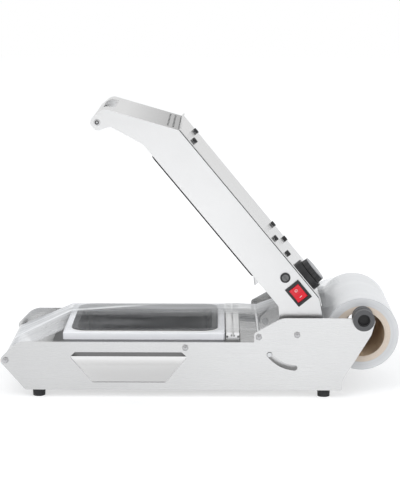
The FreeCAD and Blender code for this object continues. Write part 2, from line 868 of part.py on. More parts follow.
def dowels(name, extra):
    """Four pins that locate the mould on the deck."""
    pins = []
    inset = S.dowel_inset
    aside = MOULD_WIDE / 2 - inset
    long = S.deck_thick + S.mould_high / 2
    for i, x in enumerate((S.mould_front + inset, MOULD_REAR - inset)):
        for j, y in enumerate((-aside, aside)):
            pins.append(cylinder("%s_%d%d" % (name, i, j), S.dowel_round + extra, long,
                                 x, y, S.deck_level - S.deck_thick, "z"))
    return pins


def mould_frame():
    """The white mould block with its tray opening and a groove for the gasket."""
    blank = rounded_slab("mould_blank", MOULD_LONG, MOULD_WIDE, S.mould_high, S.deck_level, S.mould_corner)
    dress_edges(blank, "Chamfer", flat_at(MOULD_TOP), S.mould_gap, "Brow")
    well = rounded_slab("mould_well", WELL_LONG, WELL_WIDE, S.mould_high + THROUGH * 2,
                        S.deck_level - THROUGH, WELL_CORNER)
    groove = gasket_ring("mould_groove", GASKET_TOP - S.gasket_high, S.mould_high)
    tools = [well, groove] + dowels("mould_hole", S.stud_fit)
    return finish("mould_frame", cut("mould_cut", blank, tools))


def gasket_ring(name, level, high):
    """A closed ring round the well, under the tray's rim."""
    slabs = []
    for word, out in (("far", S.mould_gap + S.gasket_wide), ("near", S.mould_gap)):
        slabs.append(rounded_slab("%s_%s" % (name, word), WELL_LONG + out * 2, WELL_WIDE + out * 2,
                                  high, level, WELL_CORNER + out))
    return cut(name, slabs[0], slabs[1:])


def tub(name, shrink, level, deep):
    """A tapered tub with round corners and a bevelled floor, open side up at its level."""
    body = new_body(name)
    wall = deep - S.tray_floor_bevel
    taper = S.tray_draft * wall / deep
    corner = S.tray_corner - S.tray_flange - shrink
    rims = []
    for word, inset, height in (
        ("Top", shrink, level),
        ("Turn", taper + shrink, level - wall),
        ("Floor", S.tray_draft + S.tray_floor_bevel + shrink, level - deep),
    ):
        sketch = new_sketch(body, "XY_Plane", word, height)
        half_x, half_y = TRAY_TUB_LONG / 2 - inset, TRAY_TUB_WIDE / 2 - inset
        rounded_rectangle(sketch, MOULD_MIDDLE - half_x, -half_y, MOULD_MIDDLE + half_x, half_y, corner)
        rims.append(sketch)
    loft = body.newObject("PartDesign::AdditiveLoft", name + "_Loft")
    loft.Profile = rims[0]
    loft.Sections = rims[1:]
    loft.Ruled = True
    body.Tip = loft
    doc.recompute()
    return body


def food_tray():
    """A thin black tray: tapered tub and flat sealing rim."""
    rim = rounded_slab("tray_rim", S.tray_long, S.tray_wide, S.tray_rim_thick, GASKET_TOP, S.tray_corner)
    outside = tub("tray_outside", 0.0, GASKET_TOP + S.tray_rim_thick / 2, S.tray_deep)
    inside = tub("tray_inside", S.tray_wall, GASKET_TOP + S.tray_rim_thick, S.tray_deep - S.tray_wall)
    return finish("food_tray", cut("tray_cut", fuse("tray_solid", [rim, outside]), [inside]))


def cutter_rail():
    """A grooved bar across the deck that the blade enters."""
    body = new_body("cutter_rail")
    sketch = new_sketch(body, "XZ_Plane", "Section", -RAIL_LONG / 2)
    low = S.deck_level
    top = low + S.rail_high
    left, right = RAIL_ALONG - S.rail_wide / 2, RAIL_ALONG + S.rail_wide / 2
    mouth = S.groove_wide / 2
    floor = top - S.groove_deep
    keel = S.groove_wide
    side_low = low + S.side_groove_level
    side_high = side_low + S.groove_wide
    polygon(sketch, [
        (left, low), (right, low), (right, side_low), (right - keel, side_low), (right - keel, side_high),
        (right, side_high), (right, top), (RAIL_ALONG + mouth, top), (RAIL_ALONG + mouth, top - keel),
        (RAIL_ALONG + mouth * 2, top - keel), (RAIL_ALONG + mouth * 2, floor),
        (RAIL_ALONG - mouth * 2, floor), (RAIL_ALONG - mouth * 2, top - keel),
        (RAIL_ALONG - mouth, top - keel), (RAIL_ALONG - mouth, top), (left, top), (left, side_high),
        (left + keel, side_high), (left + keel, side_low), (left, side_low),
    ])
    pad(body, sketch, RAIL_LONG)
    return finish("cutter_rail", body)


def cross_rod(label, diameter, along, level):
    """A rod between the side plates with a thinner stud through each."""
    middle = cylinder(label + "_middle", diameter, HALF_IN * 2, along, -HALF_IN, level)
    reach = HALF_OUT + S.stud_proud
    studs = cylinder(label + "_studs", S.stud_round, reach * 2, along, -reach, level)
    return finish(label, fuse(label + "_rod", [middle, studs]))


def spring_posts():
    """A short post inside each side plate that holds the fixed end of a spring."""
    posts = []
    reach = SPRING_ASIDE - S.counter_spring_round / 2
    stud_long = S.side_plate_thick + S.stud_proud
    for word, side in (("right", RIGHT), ("left", LEFT)):
        low = -HALF_IN if side == RIGHT else reach
        stud_low = -HALF_IN - stud_long if side == RIGHT else HALF_IN
        post = cylinder("post_" + word, S.post_round, HALF_IN - reach, POST_ALONG, low, S.post_level)
        stud = cylinder("post_stud_" + word, S.stud_round, stud_long, POST_ALONG, stud_low, S.post_level)
        posts.append(fuse("post_pair_" + word, [post, stud]))
    return finish("spring_posts", group("posts", posts))


def dome_nut(name, along, level, side):
    """A closed nut, six-sided at its foot and tapered to its end, seated on a side plate."""
    rim = hexagon(name + "_rim", S.nut_round, S.nut_rim_high)
    cap = doc.addObject("Part::Cone", name + "_cap")
    bind(cap, "Radius1", S.nut_round / 2 * cosine(30))
    bind(cap, "Radius2", S.nut_tip_round / 2)
    bind(cap, "Height", S.nut_high - S.nut_rim_high)
    place(cap, 0.0, 0.0, S.nut_rim_high)
    bore = cylinder(name + "_bore", S.stud_round + S.stud_fit, S.nut_bore_deep, 0.0, 0.0, 0.0, "z")
    nut = cut(name, fuse(name + "_form", [rim, cap]), [bore])
    nut.Placement.Rotation = FreeCAD.Rotation(VECTOR(1, 0, 0), 90 if side == RIGHT else -90)
    place(nut, along, HALF_OUT * side, level)
    return nut


def dome_nuts():
    nuts = []
    for word, (along, level) in NUT_AXES.items():
        for tag, side in (("right", RIGHT), ("left", LEFT)):
            nuts.append(dome_nut("nut_%s_%s" % (word, tag), along, level, side))
    return finish("dome_nuts", group("nuts", nuts))


# Film

def film_spindle():
    """A thin rod through the roll's core, with a collar and a journal at each end."""
    half = HALF_IN - S.hub_gap
    reach = HALF_OUT + S.hub_gap + S.hub_long - S.hub_recess_deep
    shapes = [cylinder("spindle_rod", S.spindle_round, half * 2, SPINDLE_ALONG, -half, SPINDLE_LEVEL)]
    for word, side in (("right", RIGHT), ("left", LEFT)):
        for kind, diameter, end in (("collar", S.hub_round, half), ("journal", S.journal_round, reach)):
            low = -end if side == RIGHT else half - S.collar_long
            shapes.append(cylinder("spindle_%s_%s" % (kind, word), diameter, end - half + S.collar_long,
                                   SPINDLE_ALONG, low, SPINDLE_LEVEL))
    return finish("film_spindle", fuse("spindle", shapes))


def spindle_hubs():
    """Knurled end discs on the journals, each with a blind recess in its face."""
    hubs = []
    for word, side in (("right", RIGHT), ("left", LEFT)):
        near = HALF_OUT + S.hub_gap
        far = near + S.hub_long
        low = -far if side == RIGHT else near
        disc = cylinder("hub_disc_" + word, S.hub_round, S.hub_long, SPINDLE_ALONG, low, SPINDLE_LEVEL)
        hole_low = -far + S.hub_recess_deep if side == RIGHT else near
        hole = cylinder("hub_hole_" + word, S.journal_round, S.hub_long - S.hub_recess_deep,
                        SPINDLE_ALONG, hole_low, SPINDLE_LEVEL)
        dish_low = -far if side == RIGHT else far - S.hub_recess_deep
        dish = cylinder("hub_dish_" + word, S.hub_recess_round, S.hub_recess_deep,
                        SPINDLE_ALONG, dish_low, SPINDLE_LEVEL)
        hubs.append(cut("hub_" + word, disc, [hole, dish]))
    return finish("spindle_hubs", group("hubs", hubs))


def roll_ring(label, outer, inner):
    form = ring(label + "_ring", outer, inner, ROLL_LONG, SPINDLE_ALONG, -ROLL_LONG / 2, ROLL_LEVEL)
    return finish(label, form)


def film_web():
    """The film drawn from the roll over the guide rod, the tray and the nose rod."""
    body = new_body("film_web")
    sketch = new_sketch(body, "XZ_Plane", "Section", -FILM_WIDE / 2)
    rise = S.seat_gap
    guide_top = GUIDE_ROD_LEVEL + S.guide_rod_round / 2 + rise
    flat = GASKET_TOP + S.tray_rim_thick + rise
    run = SPINDLE_ALONG - GUIDE_ROD_ALONG
    drop = guide_top - ROLL_LEVEL
    swing = S.roll_round / 2 + rise
    apart = root(run * run + drop * drop)
    tangent = root(apart * apart - swing * swing)
    lean = arcsine(swing / apart) - arcsine(drop / apart)
    leave_along = GUIDE_ROD_ALONG + tangent * cosine(lean)
    leave_level = guide_top + tangent * sine(lean)
    rod_top = S.nose_rod_level + S.nose_rod_round / 2 + rise
    path = [
        (leave_along, leave_level),
        (GUIDE_ROD_ALONG, guide_top),
        (RAIL_ALONG + S.rail_wide, flat),
        (S.mould_front, flat),
        (NOSE_ROD_ALONG, rod_top),
    ]
    thick = S.film_thick
    upper = [(x, z + thick) for x, z in reversed(path)]
    polygon(sketch, path + upper)
    pad(body, sketch, FILM_WIDE)
    return finish("film_web", body)


# Hinge

COVER_UNDER = S.arm_top + S.seal_thick
COVER_TOP = COVER_UNDER + S.cover_thick
BUSH_ROUND = S.pivot_round + S.running_gap * 2 + S.bush_wall * 2


def counter_springs():
    """The two extension springs that balance the arm, hooked from the posts to the stop pins."""
    run, rise = STOP_ALONG - POST_ALONG, STOP_LEVEL - S.post_level
    apart = root(run * run + rise * rise)
    lean = FreeCAD.Rotation(VECTOR(0, 1, 0), -math.degrees(math.atan2(rise.value, run.value)))
    wire, round_ = S.counter_spring_wire, S.counter_spring_round
    springs = []
    for word, side in (("right", RIGHT), ("left", LEFT)):
        eyes = []
        reaches = []
        for tag, pin, centre in (("fixed", S.post_round, 0.0), ("moving", S.stop_pin_round, apart)):
            inner = pin + S.seat_gap * 2
            name = "eye_%s_%s" % (word, tag)
            eyes.append(ring(name, inner + wire * 2, inner, wire, centre, -wire / 2))
            reaches.append((inner + wire) / 2)
        length = apart - reaches[0] - reaches[1]
        coil = ring("coil_" + word, round_, round_ - wire * 2, length, reaches[0], 0.0, 0.0, "x")
        ends = [cylinder("coil_end_%s_%d" % (word, i), round_, wire, x, 0.0, 0.0, "x")
                for i, x in enumerate((reaches[0], apart - reaches[1] - wire))]
        spring = fuse("counter_spring_" + word, eyes + [coil] + ends)
        spring.Placement.Rotation = lean
        place(spring, POST_ALONG, SPRING_ASIDE * side, S.post_level)
        springs.append(spring)
    return finish("counter_springs", group("springs", springs))


def pivot_bushes():
    bushes = []
    bore = S.pivot_round + S.running_gap * 2
    for word, side in (("right", RIGHT), ("left", LEFT)):
        length = HALF_IN - S.seat_gap - ARM_IN
        low = S.seat_gap - HALF_IN if side == RIGHT else ARM_IN
        bushes.append(ring("bush_" + word, BUSH_ROUND, bore, length, 0.0, low))
    return finish("pivot_bushes", on_arm(group("bushes", bushes)))


STOP_PIN_ALONG = S.stop_reach * cosine(S.stop_angle)
STOP_PIN_LEVEL = S.stop_reach * sine(S.stop_angle)


def stop_pins():
    """Headed pins on the arm's legs that run in the slots and pull on the springs."""
    pins = []
    for word, side in (("right", RIGHT), ("left", LEFT)):
        length = HALF_OUT + S.stop_pin_proud - ARM_IN
        low = ARM_IN if side == LEFT else -ARM_IN - length
        head_low = ARM_IN - S.stop_head_thick if side == LEFT else -ARM_IN
        shaft = cylinder("stop_shaft_" + word, S.stop_pin_round, length, STOP_PIN_ALONG, low, STOP_PIN_LEVEL)
        head = cylinder("stop_head_" + word, S.stop_head_round, S.stop_head_thick,
                        STOP_PIN_ALONG, head_low, STOP_PIN_LEVEL)
        pins.append(fuse("stop_pin_" + word, [shaft, head]))
    return finish("stop_pins", on_arm(group("pins", pins)))


# Arm

def arm_wall(label, side):
    """One side wall: hinge leg, long straight flank and the bent handle in one sheet."""
    body = new_body(label)
    sketch = new_sketch(body, "XZ_Plane", "Outline", ARM_IN if side == RIGHT else -ARM_OUT)
    nose = S.handle_nose_round / 2
    tip = HANDLE_NOSE_ALONG - nose
    chin = S.handle_nose_level - nose
    leg_toe = (S.leg_front_along, S.leg_bottom)
    leg_heel = (S.leg_rear_low, S.leg_bottom)
    hip = (S.leg_rear_along, S.leg_rear_level)
    haunch = (S.haunch_along, S.haunch_level)
    rear_top = (S.arm_rear, S.arm_top)
    front_top = (ARM_FRONT, S.arm_top)
    knuckle = (tip, S.handle_top_level)
    nose_low = (tip, chin)
    nose_under = (HANDLE_NOSE_ALONG + nose, chin)
    palm = (HANDLE_UNDER_ALONG, S.handle_under_level)
    wrist = (HANDLE_START, S.arm_under)
    groin = (S.leg_start_along, S.arm_under)
    leg_root = (S.leg_root_along, S.leg_root_level)
    shin = (S.leg_front_along, S.leg_front_level)
    polygon(sketch, [leg_toe, leg_heel, hip, haunch, rear_top, front_top, knuckle, nose_low,
                     nose_under, palm, wrist, groin, leg_root, shin])
    circle(sketch, 0.0, 0.0, BUSH_ROUND + S.stud_fit)
    circle(sketch, STOP_PIN_ALONG, STOP_PIN_LEVEL, S.stop_pin_round + S.stud_fit)
    circle(sketch, HANDLE_NOSE_ALONG, S.handle_nose_level, S.handle_screw_round + S.stud_fit)
    if side == RIGHT:
        circle(sketch, S.fuse_along, S.fuse_level, S.fuse_barrel_round + S.stud_fit)
        half_x, half_z = (S.switch_long + S.stud_fit) / 2, (S.switch_wide + S.stud_fit) / 2
        rectangle(sketch, S.switch_along - half_x, S.switch_level - half_z,
                  S.switch_along + half_x, S.switch_level + half_z)
    else:
        circle(sketch, S.gland_along, S.gland_level, S.gland_thread_round + S.stud_fit)
    pad(body, sketch, S.arm_wall_thick)
    round_corners(body, "xz", [leg_heel], S.heel_round, "HeelRound")
    round_corners(body, "xz", [leg_toe, leg_root, groin], S.toe_round, "ToeRound")
    round_corners(body, "xz", [hip, haunch, shin], S.hip_round, "HipRound")
    round_corners(body, "xz", [nose_low, nose_under], nose - S.handle_nose_ease, "NoseRound")
    round_corners(body, "xz", [knuckle], S.knuckle_round, "KnuckleRound")
    round_corners(body, "xz", [palm, rear_top], S.palm_round, "PalmRound")
    round_corners(body, "xz", [wrist], S.wrist_round, "WristRound")
    return finish(label, on_arm(body))


def cover_seals():
    """A black strip between each wall's top edge and the cover."""
    strips = []
    for word, low in (("right", -ARM_OUT), ("left", ARM_IN)):
        strips.append(block("seal_" + word, S.arm_rear - ARM_FRONT - S.cover_lip * 2, S.arm_wall_thick,
                            S.seal_thick, ARM_FRONT + S.cover_lip, low, S.arm_top))
    return finish("cover_seals", on_arm(group("seals", strips)))


def top_cover():
    """The folded sheet over the arm, lipped up in front and bent down behind."""
    body = new_body("top_cover")
    sketch = new_sketch(body, "XZ_Plane", "Section", -ARM_OUT)
    thick = S.cover_thick
    front = ARM_FRONT - thick
    rear = S.arm_rear - thick
    fall = S.cover_fall
    polygon(sketch, [
        (front, COVER_UNDER), (rear, COVER_UNDER), (rear + fall * 2, COVER_UNDER - fall),
        (rear + fall * 2 + thick / 2, COVER_UNDER - fall + thick),
        (rear + thick / 4, COVER_TOP), (front + thick, COVER_TOP),
        (front + thick, COVER_TOP + S.cover_lip), (front, COVER_TOP + S.cover_lip),
    ])
    pad(body, sketch, ARM_OUT * 2)
    low = COVER_UNDER - THROUGH
    high = S.cover_thick + THROUGH * 2
    holes = [cylinder("cover_hole_%d" % i, S.bolt_round + S.bolt_gap * 2, high, x, y, low, "z")
             for i, (x, y) in enumerate(bolt_spots() + stud_spots())]
    shaft_hole = S.shaft_round + S.bolt_gap * 2
    holes.append(cylinder("cover_shaft_hole", shaft_hole, high, S.knob_along, KNOB_ACROSS, low, "z"))
    return finish("top_cover", on_arm(cut("cover_cut", body, holes)))


def bolt_spots():
    return [(x, y) for x in (BOLT_FRONT, BOLT_REAR) for y in (-S.bolt_aside, S.bolt_aside)]


def stud_spots():
    return [(BLADE_ALONG, -S.bolt_aside), (BLADE_ALONG, S.bolt_aside)]


def vent_starts():
    """Where each vent of a row starts across the machine."""
    middle = (VENT_COUNT - 1) / 2
    return [S.vent_pitch * (i - middle) - S.vent_long / 2 for i in range(VENT_COUNT)]


def front_panel():
    """The upright sheet in front of the heater, with rows of vents."""
    body = new_body("front_panel")
    sketch = new_sketch(body, "YZ_Plane", "Outline", ARM_FRONT + S.cover_thick)
    rectangle(sketch, -ARM_IN, S.arm_under, ARM_IN, S.arm_top)
    for level in (S.vent_low_level, S.vent_high_level):
        for start in vent_starts():
            rectangle(sketch, start, level, start + S.vent_long, level + S.vent_wide)
    pad(body, sketch, S.cover_thick)
    return finish("front_panel", on_arm(body))


def handle_strap():
    """The curved sheet between the walls from the nose up to the cover, with a hand grip and vents."""
    body = new_body("handle_strap")
    sketch = new_sketch(body, "XZ_Plane", "Section", -ARM_IN)
    thick = S.strap_thick
    tip = HANDLE_NOSE_ALONG - S.handle_nose_round / 2
    low = S.handle_nose_level
    rise = (S.arm_top - S.handle_top_level) / (ARM_FRONT - tip)
    end = ARM_FRONT - thick
    end_level = S.arm_top - thick * rise
    slant = thick * root(rise * rise + 1)
    knuckle = (tip, S.handle_top_level)
    inner = (tip + thick, S.handle_top_level + thick * rise - slant)
    polygon(sketch, [
        (tip, low), (tip + thick, low), inner, (end, end_level - slant), (end, end_level), knuckle,
    ])
    pad(body, sketch, ARM_IN * 2)
    round_corners(body, "xz", [knuckle], S.knuckle_round, "OuterBend")
    round_corners(body, "xz", [inner], S.knuckle_round - thick, "InnerBend")
    tools = [block("grip_hole", S.grip_high, S.grip_wide, S.grip_high,
                   tip - THROUGH, -S.grip_wide / 2, S.handle_top_level - S.grip_high / 2)]
    for row in range(2):
        ahead = S.strap_vent_ahead + S.strap_vent_step * row
        for i, start in enumerate(vent_starts()):
            tools.append(block("strap_vent_%d_%d" % (row, i), S.vent_wide, S.vent_long, S.vent_pitch,
                               end - ahead, start, end_level - ahead * rise - slant * 3))
    return finish("handle_strap", on_arm(cut("strap_cut", body, tools)))


def handle_bar():
    bar = ring("handle_tube", S.handle_bar_round, S.handle_screw_round + S.stud_fit, ARM_IN * 2,
               HANDLE_NOSE_ALONG, -ARM_IN, S.handle_nose_level)
    return finish("handle_bar", on_arm(bar))


def handle_screws():
    screws = []
    head_long = S.handle_head_high
    for word, side in (("right", RIGHT), ("left", LEFT)):
        shank_long = S.handle_bar_round + S.arm_wall_thick
        shank_low = ARM_OUT - shank_long if side == LEFT else -ARM_OUT
        head_low = ARM_OUT if side == LEFT else -ARM_OUT - head_long
        shank = cylinder("handle_shank_" + word, S.handle_screw_round, shank_long,
                         HANDLE_NOSE_ALONG, shank_low, S.handle_nose_level)
        head = cylinder("handle_head_" + word, S.handle_head_round, head_long,
                        HANDLE_NOSE_ALONG, head_low, S.handle_nose_level)
        screws.append(fuse("handle_screw_" + word, [shank, head]))
    return finish("handle_screws", on_arm(group("handle_fixings", screws)))


def electrics_tray():
    """The folded sheet that closes the switch and thermostat space from below."""
    body = new_body("electrics_tray")
    sketch = new_sketch(body, "XZ_Plane", "Section", -ARM_IN)
    thick = S.cover_thick
    low, high = S.electrics_floor_level, S.arm_top
    front, rear = S.electrics_front, S.electrics_rear
    polygon(sketch, [
        (front, low), (rear, low), (rear, high), (rear - thick, high), (rear - thick, low + thick),
        (front + thick, low + thick), (front + thick, high), (front, high),
    ])
    pad(body, sketch, ARM_IN * 2)
    return finish("electrics_tray", on_arm(body))


# Heater

PLATE_TOP = S.heater_under + S.heater_thick
INSULATION_UNDER = PLATE_TOP + S.element_wide
INSULATION_TOP = INSULATION_UNDER + S.insulation_thick
ELEMENT_ASIDE = S.bolt_aside - S.element_gap
ELEMENT_POST_ALONG = HEATER_REAR - S.element_inset


def heater_plate():
    """The thick coated plate with round corners and an eased sealing face."""
    long = HEATER_REAR - HEATER_FRONT
    middle = (HEATER_REAR + HEATER_FRONT) / 2
    body = rounded_slab("heater_plate", long, HEATER_WIDE, S.heater_thick, S.heater_under,
                        S.heater_corner, middle)
    dress_edges(body, "Chamfer", flat_at(S.heater_under), S.heater_ease, "Ease")
    return finish("heater_plate", on_arm(body))


def heating_element():
    """A square-section element bent to a hairpin on top of the plate, with a post up from each end."""
    wide = S.element_wide
    out, into = ELEMENT_ASIDE + wide / 2, ELEMENT_ASIDE - wide / 2
    front = HEATER_FRONT + S.element_inset
    rear = ELEMENT_POST_ALONG + wide / 2
    hairpin = new_body("heating_element")
    sketch = new_sketch(hairpin, "XY_Plane", "Outline", PLATE_TOP)
    polygon(sketch, [(front, -out), (rear, -out), (rear, -into), (front + wide, -into),
                     (front + wide, into), (rear, into), (rear, out), (front, out)])
    pad(hairpin, sketch, wide)
    posts = [cylinder("element_post_" + word, wide, S.electrics_floor_level - PLATE_TOP,
                      ELEMENT_POST_ALONG, across, PLATE_TOP, "z")
             for word, across in (("right", -ELEMENT_ASIDE), ("left", ELEMENT_ASIDE))]
    return finish("heating_element", on_arm(fuse("element", [hairpin] + posts)))


def insulation_sheet():
    inset = S.insulation_thick
    sheet_block = block("insulation_block", HEATER_REAR - HEATER_FRONT - inset * 2, HEATER_WIDE - inset * 2,
                        S.insulation_thick, HEATER_FRONT + inset, inset - HEATER_WIDE / 2, INSULATION_UNDER)
    low = INSULATION_UNDER - THROUGH
    high = S.insulation_thick + THROUGH * 2
    holes = [cylinder("insulation_hole_%d" % i, S.bolt_round + S.bolt_gap * 2, high, x, y, low, "z")
             for i, (x, y) in enumerate(bolt_spots())]
    holes += [cylinder("insulation_port_%d" % i, S.element_wide + S.bolt_gap * 2, high,
                       ELEMENT_POST_ALONG, across, low, "z")
              for i, across in enumerate((-ELEMENT_ASIDE, ELEMENT_ASIDE))]
    return finish("insulation_sheet", on_arm(cut("insulation_cut", sheet_block, holes)))


def suspension_bolts():
    top = COVER_TOP + S.bolt_gap + S.cap_nut_high / 2
    bolts = [cylinder("bolt_%d" % i, S.bolt_round, top - PLATE_TOP, x, y, PLATE_TOP, "z")
             for i, (x, y) in enumerate(bolt_spots())]
    return finish("suspension_bolts", on_arm(group("bolts", bolts)))


def cap_nuts(label, spots, level):
    """Dark closed nuts that stand on the cover."""
    nuts = []
    across = S.bolt_round + S.stud_fit
    for i, (x, y) in enumerate(spots):
        body = hexagon("%s_body_%d" % (label, i), S.cap_nut_round, S.cap_nut_high, x, y, level)
        bore = cylinder("%s_bore_%d" % (label, i), across, S.cap_nut_bore_deep, x, y, level, "z")
        nuts.append(cut("%s_%d" % (label, i), body, [bore]))
    return finish(label, on_arm(group(label + "_all", nuts)))


def suspension_springs():
    low = INSULATION_TOP + S.bolt_gap / 2
    high = COVER_UNDER - S.bolt_gap / 2
    bore = S.spring_round - S.spring_wire * 2
    springs = [ring("suspension_%d" % i, S.spring_round, bore, high - low, x, y, low, "z")
               for i, (x, y) in enumerate(bolt_spots())]
    return finish("suspension_springs", on_arm(group("suspension", springs)))


# Cutter

def cutter_blade():
    """A thin blade with a row of pointed teeth along its lower edge."""
    body = new_body("cutter_blade")
    sketch = new_sketch(body, "YZ_Plane", "Outline", BLADE_ALONG - S.blade_thick / 2)
    top = S.blade_tip + S.blade_high
    root = S.blade_tip + S.tooth_deep
    count = int(number(BLADE_LONG) / number(S.tooth_pitch))
    start = -S.tooth_pitch * count / 2
    teeth = []
    for i in range(count):
        teeth += [(start + S.tooth_pitch * i, root), (start + S.tooth_pitch * (i + 0.5), S.blade_tip)]
    half = BLADE_LONG / 2
    polygon(sketch, [(-half, top), (-half, root)] + teeth[1:] + [(half, root), (half, top)])
    pad(body, sketch, S.blade_thick)
    return finish("cutter_blade", on_arm(body))


def blade_holder():
    """A slotted bar that grips the blade."""
    bar = block("holder_bar", S.holder_wide, BLADE_LONG, S.holder_high,
                BLADE_ALONG - S.holder_wide / 2, -BLADE_LONG / 2, S.holder_under)
    slot = S.blade_thick + S.running_gap * 2
    deep = S.blade_tip + S.blade_high - S.holder_under + S.running_gap
    groove = block("holder_slot", slot, BLADE_LONG + THROUGH * 2, deep + THROUGH,
                   BLADE_ALONG - slot / 2, -BLADE_LONG / 2 - THROUGH, S.holder_under - THROUGH)
    return finish("blade_holder", on_arm(cut("holder_cut", bar, [groove])))


def blade_studs():
    low = S.holder_under + S.holder_high
    top = COVER_TOP + S.cap_nut_high / 2
    studs = [cylinder("stud_%d" % i, S.bolt_round, top - low, x, y, low, "z")
             for i, (x, y) in enumerate(stud_spots())]
    return finish("blade_studs", on_arm(group("studs", studs)))


# Controls

KNOB_UNDER = COVER_TOP + S.skirt_high + S.seat_gap
SHAFT_FOOT = COVER_UNDER - S.thermostat_deep / 2


def thermostat_body():
    half = S.thermostat_long / 2
    case = block("thermostat_case", S.thermostat_long, S.thermostat_long, S.thermostat_deep,
                 S.knob_along - half, KNOB_ACROSS - half, COVER_UNDER - S.thermostat_deep)
    hole = cylinder("thermostat_hole", S.shaft_round + S.running_gap * 2, S.thermostat_deep,
                    S.knob_along, KNOB_ACROSS, SHAFT_FOOT - S.seat_gap, "z")
    return finish("thermostat_body", on_arm(cut("thermostat_cut", case, [hole])))


def knob_base():
    base = ring("knob_base_ring", S.skirt_round, S.shaft_round + S.bolt_gap * 2, S.skirt_high,
                S.knob_along, KNOB_ACROSS, COVER_TOP, "z")
    return finish("knob_base", on_arm(base))


def knob_shaft():
    top = KNOB_UNDER + S.knob_bore_deep - S.stud_fit
    shaft = cylinder("shaft", S.shaft_round, top - SHAFT_FOOT,
                     S.knob_along, KNOB_ACROSS, SHAFT_FOOT, "z")
    return finish("knob_shaft", on_arm(group("shaft_form", [shaft])))


def control_knob():
    """A fluted knob with a blind bore for its shaft."""
    body = new_body("control_knob")
    sketch = new_sketch(body, "XY_Plane", "Outline", KNOB_UNDER)
    circle(sketch, S.knob_along, KNOB_ACROSS, S.knob_round)
    pad(body, sketch, S.knob_high)
    dress_edges(body, "Chamfer", flat_at(KNOB_UNDER + S.knob_high), S.knob_bevel, "Brow")
    reach = S.knob_round / 2 + S.flute_out
    level = KNOB_UNDER + S.knob_bevel
    flutes = []
    for i in range(FLUTE_COUNT):
        angle = 360.0 * i / FLUTE_COUNT
        x = S.knob_along + reach * cosine(angle)
        y = KNOB_ACROSS + reach * sine(angle)
        flutes.append(cylinder("flute_%d" % i, S.flute_round, S.knob_high, x, y, level, "z"))
    bore = cylinder("knob_bore", S.shaft_round + S.stud_fit, S.knob_bore_deep,
                    S.knob_along, KNOB_ACROSS, KNOB_UNDER, "z")
    return finish("control_knob", on_arm(cut("knob_cut", body, flutes + [bore])))


ROCKER_AXIS = S.rocker_axis_sink - ARM_OUT
ROCKER_ROUND = S.rocker_long + S.rocker_end_ease
ROCKER_ROOM = ROCKER_ROUND + S.seat_gap * 2


def switch_body():
    """The switch's frame and housing, hollowed for the rocker."""
    bezel = block("bezel", S.bezel_long, S.bezel_proud, S.bezel_wide, S.switch_along - S.bezel_long / 2,
                  -ARM_OUT - S.bezel_proud, S.switch_level - S.bezel_wide / 2)
    housing = block("housing", S.switch_long, S.switch_deep, S.switch_wide,
                    S.switch_along - S.switch_long / 2, -ARM_OUT, S.switch_level - S.switch_wide / 2)
    room_wide = S.rocker_wide + S.seat_gap * 2
    room = block("switch_room", ROCKER_ROOM, S.bezel_proud + S.rocker_room_deep, room_wide,
                 S.switch_along - ROCKER_ROOM / 2, -ARM_OUT - S.bezel_proud, S.switch_level - room_wide / 2)
    return finish("switch_body", on_arm(cut("switch_cut", fuse("switch_case", [bezel, housing]), [room])))


def rocker():
    """A rocker with two faces at an angle, round-ended about its own axis, tipped to its rear half."""
    body = new_body("rocker")
    sketch = new_sketch(body, "XY_Plane", "Section", S.switch_level - S.rocker_wide / 2)
    face = -ARM_OUT - S.bezel_proud - S.seat_gap
    inner = S.rocker_sink - ARM_OUT
    low, high = S.switch_along - S.rocker_long, S.switch_along + S.rocker_long
    tipped = face - S.rocker_proud
    polygon(sketch, [(low, inner), (low, face), (S.switch_along, face), (high, tipped), (high, inner)])
    pad(body, sketch, S.rocker_wide)
    drum = cylinder("rocker_drum", ROCKER_ROUND, S.rocker_wide, S.switch_along, ROCKER_AXIS,
                    S.switch_level - S.rocker_wide / 2, "z")
    form = doc.addObject("Part::Common", "rocker_common")
    form.Base = body
    form.Tool = drum
    return finish("power_rocker", on_arm(form))


def fuse_holder():
    front = -ARM_OUT - S.bezel_proud
    flange = cylinder("fuse_flange", S.fuse_round, S.bezel_proud, S.fuse_along, front, S.fuse_level)
    barrel = cylinder("fuse_barrel", S.fuse_barrel_round, S.fuse_deep, S.fuse_along, -ARM_OUT, S.fuse_level)
    well = cylinder("fuse_well", S.fuse_well_round, S.fuse_cap_high, S.fuse_along, front, S.fuse_level)
    return finish("fuse_holder", on_arm(cut("fuse_cut", fuse("fuse_case", [flange, barrel]), [well])))


def fuse_cap():
    """The slotted screw-in cap of the fuse holder."""
    low = -ARM_OUT - S.bezel_proud - S.seat_gap
    cap = cylinder("cap", S.fuse_cap_round, S.fuse_cap_high, S.fuse_along, low, S.fuse_level)
    slot = block("cap_slot", S.fuse_barrel_round, S.fuse_slot_deep, S.fuse_slot_wide,
                 S.fuse_along - S.fuse_barrel_round / 2, low, S.fuse_level - S.fuse_slot_wide / 2)
    return finish("fuse_cap", on_arm(cut("cap_cut", cap, [slot])))


def terminal_block():
    """The row of screw terminals on the floor of the electrics space."""
    along = S.electrics_front + S.cover_thick * 3
    level = S.electrics_floor_level
    base = block("terminal_base", S.terminal_wide, S.terminal_long, S.terminal_high,
                 along, S.thermostat_long, level + S.cover_thick)
    wells = []
    for i in range(TERMINAL_COUNT):
        across = S.thermostat_long + S.terminal_long / TERMINAL_COUNT * (i + 0.5)
        wells.append(cylinder("terminal_well_%d" % i, S.terminal_well_round, S.terminal_high,
                              along + S.terminal_wide / 2, across, level + S.terminal_high / 2, "z"))
    return finish("terminal_block", on_arm(cut("terminal_cut", base, wells)))


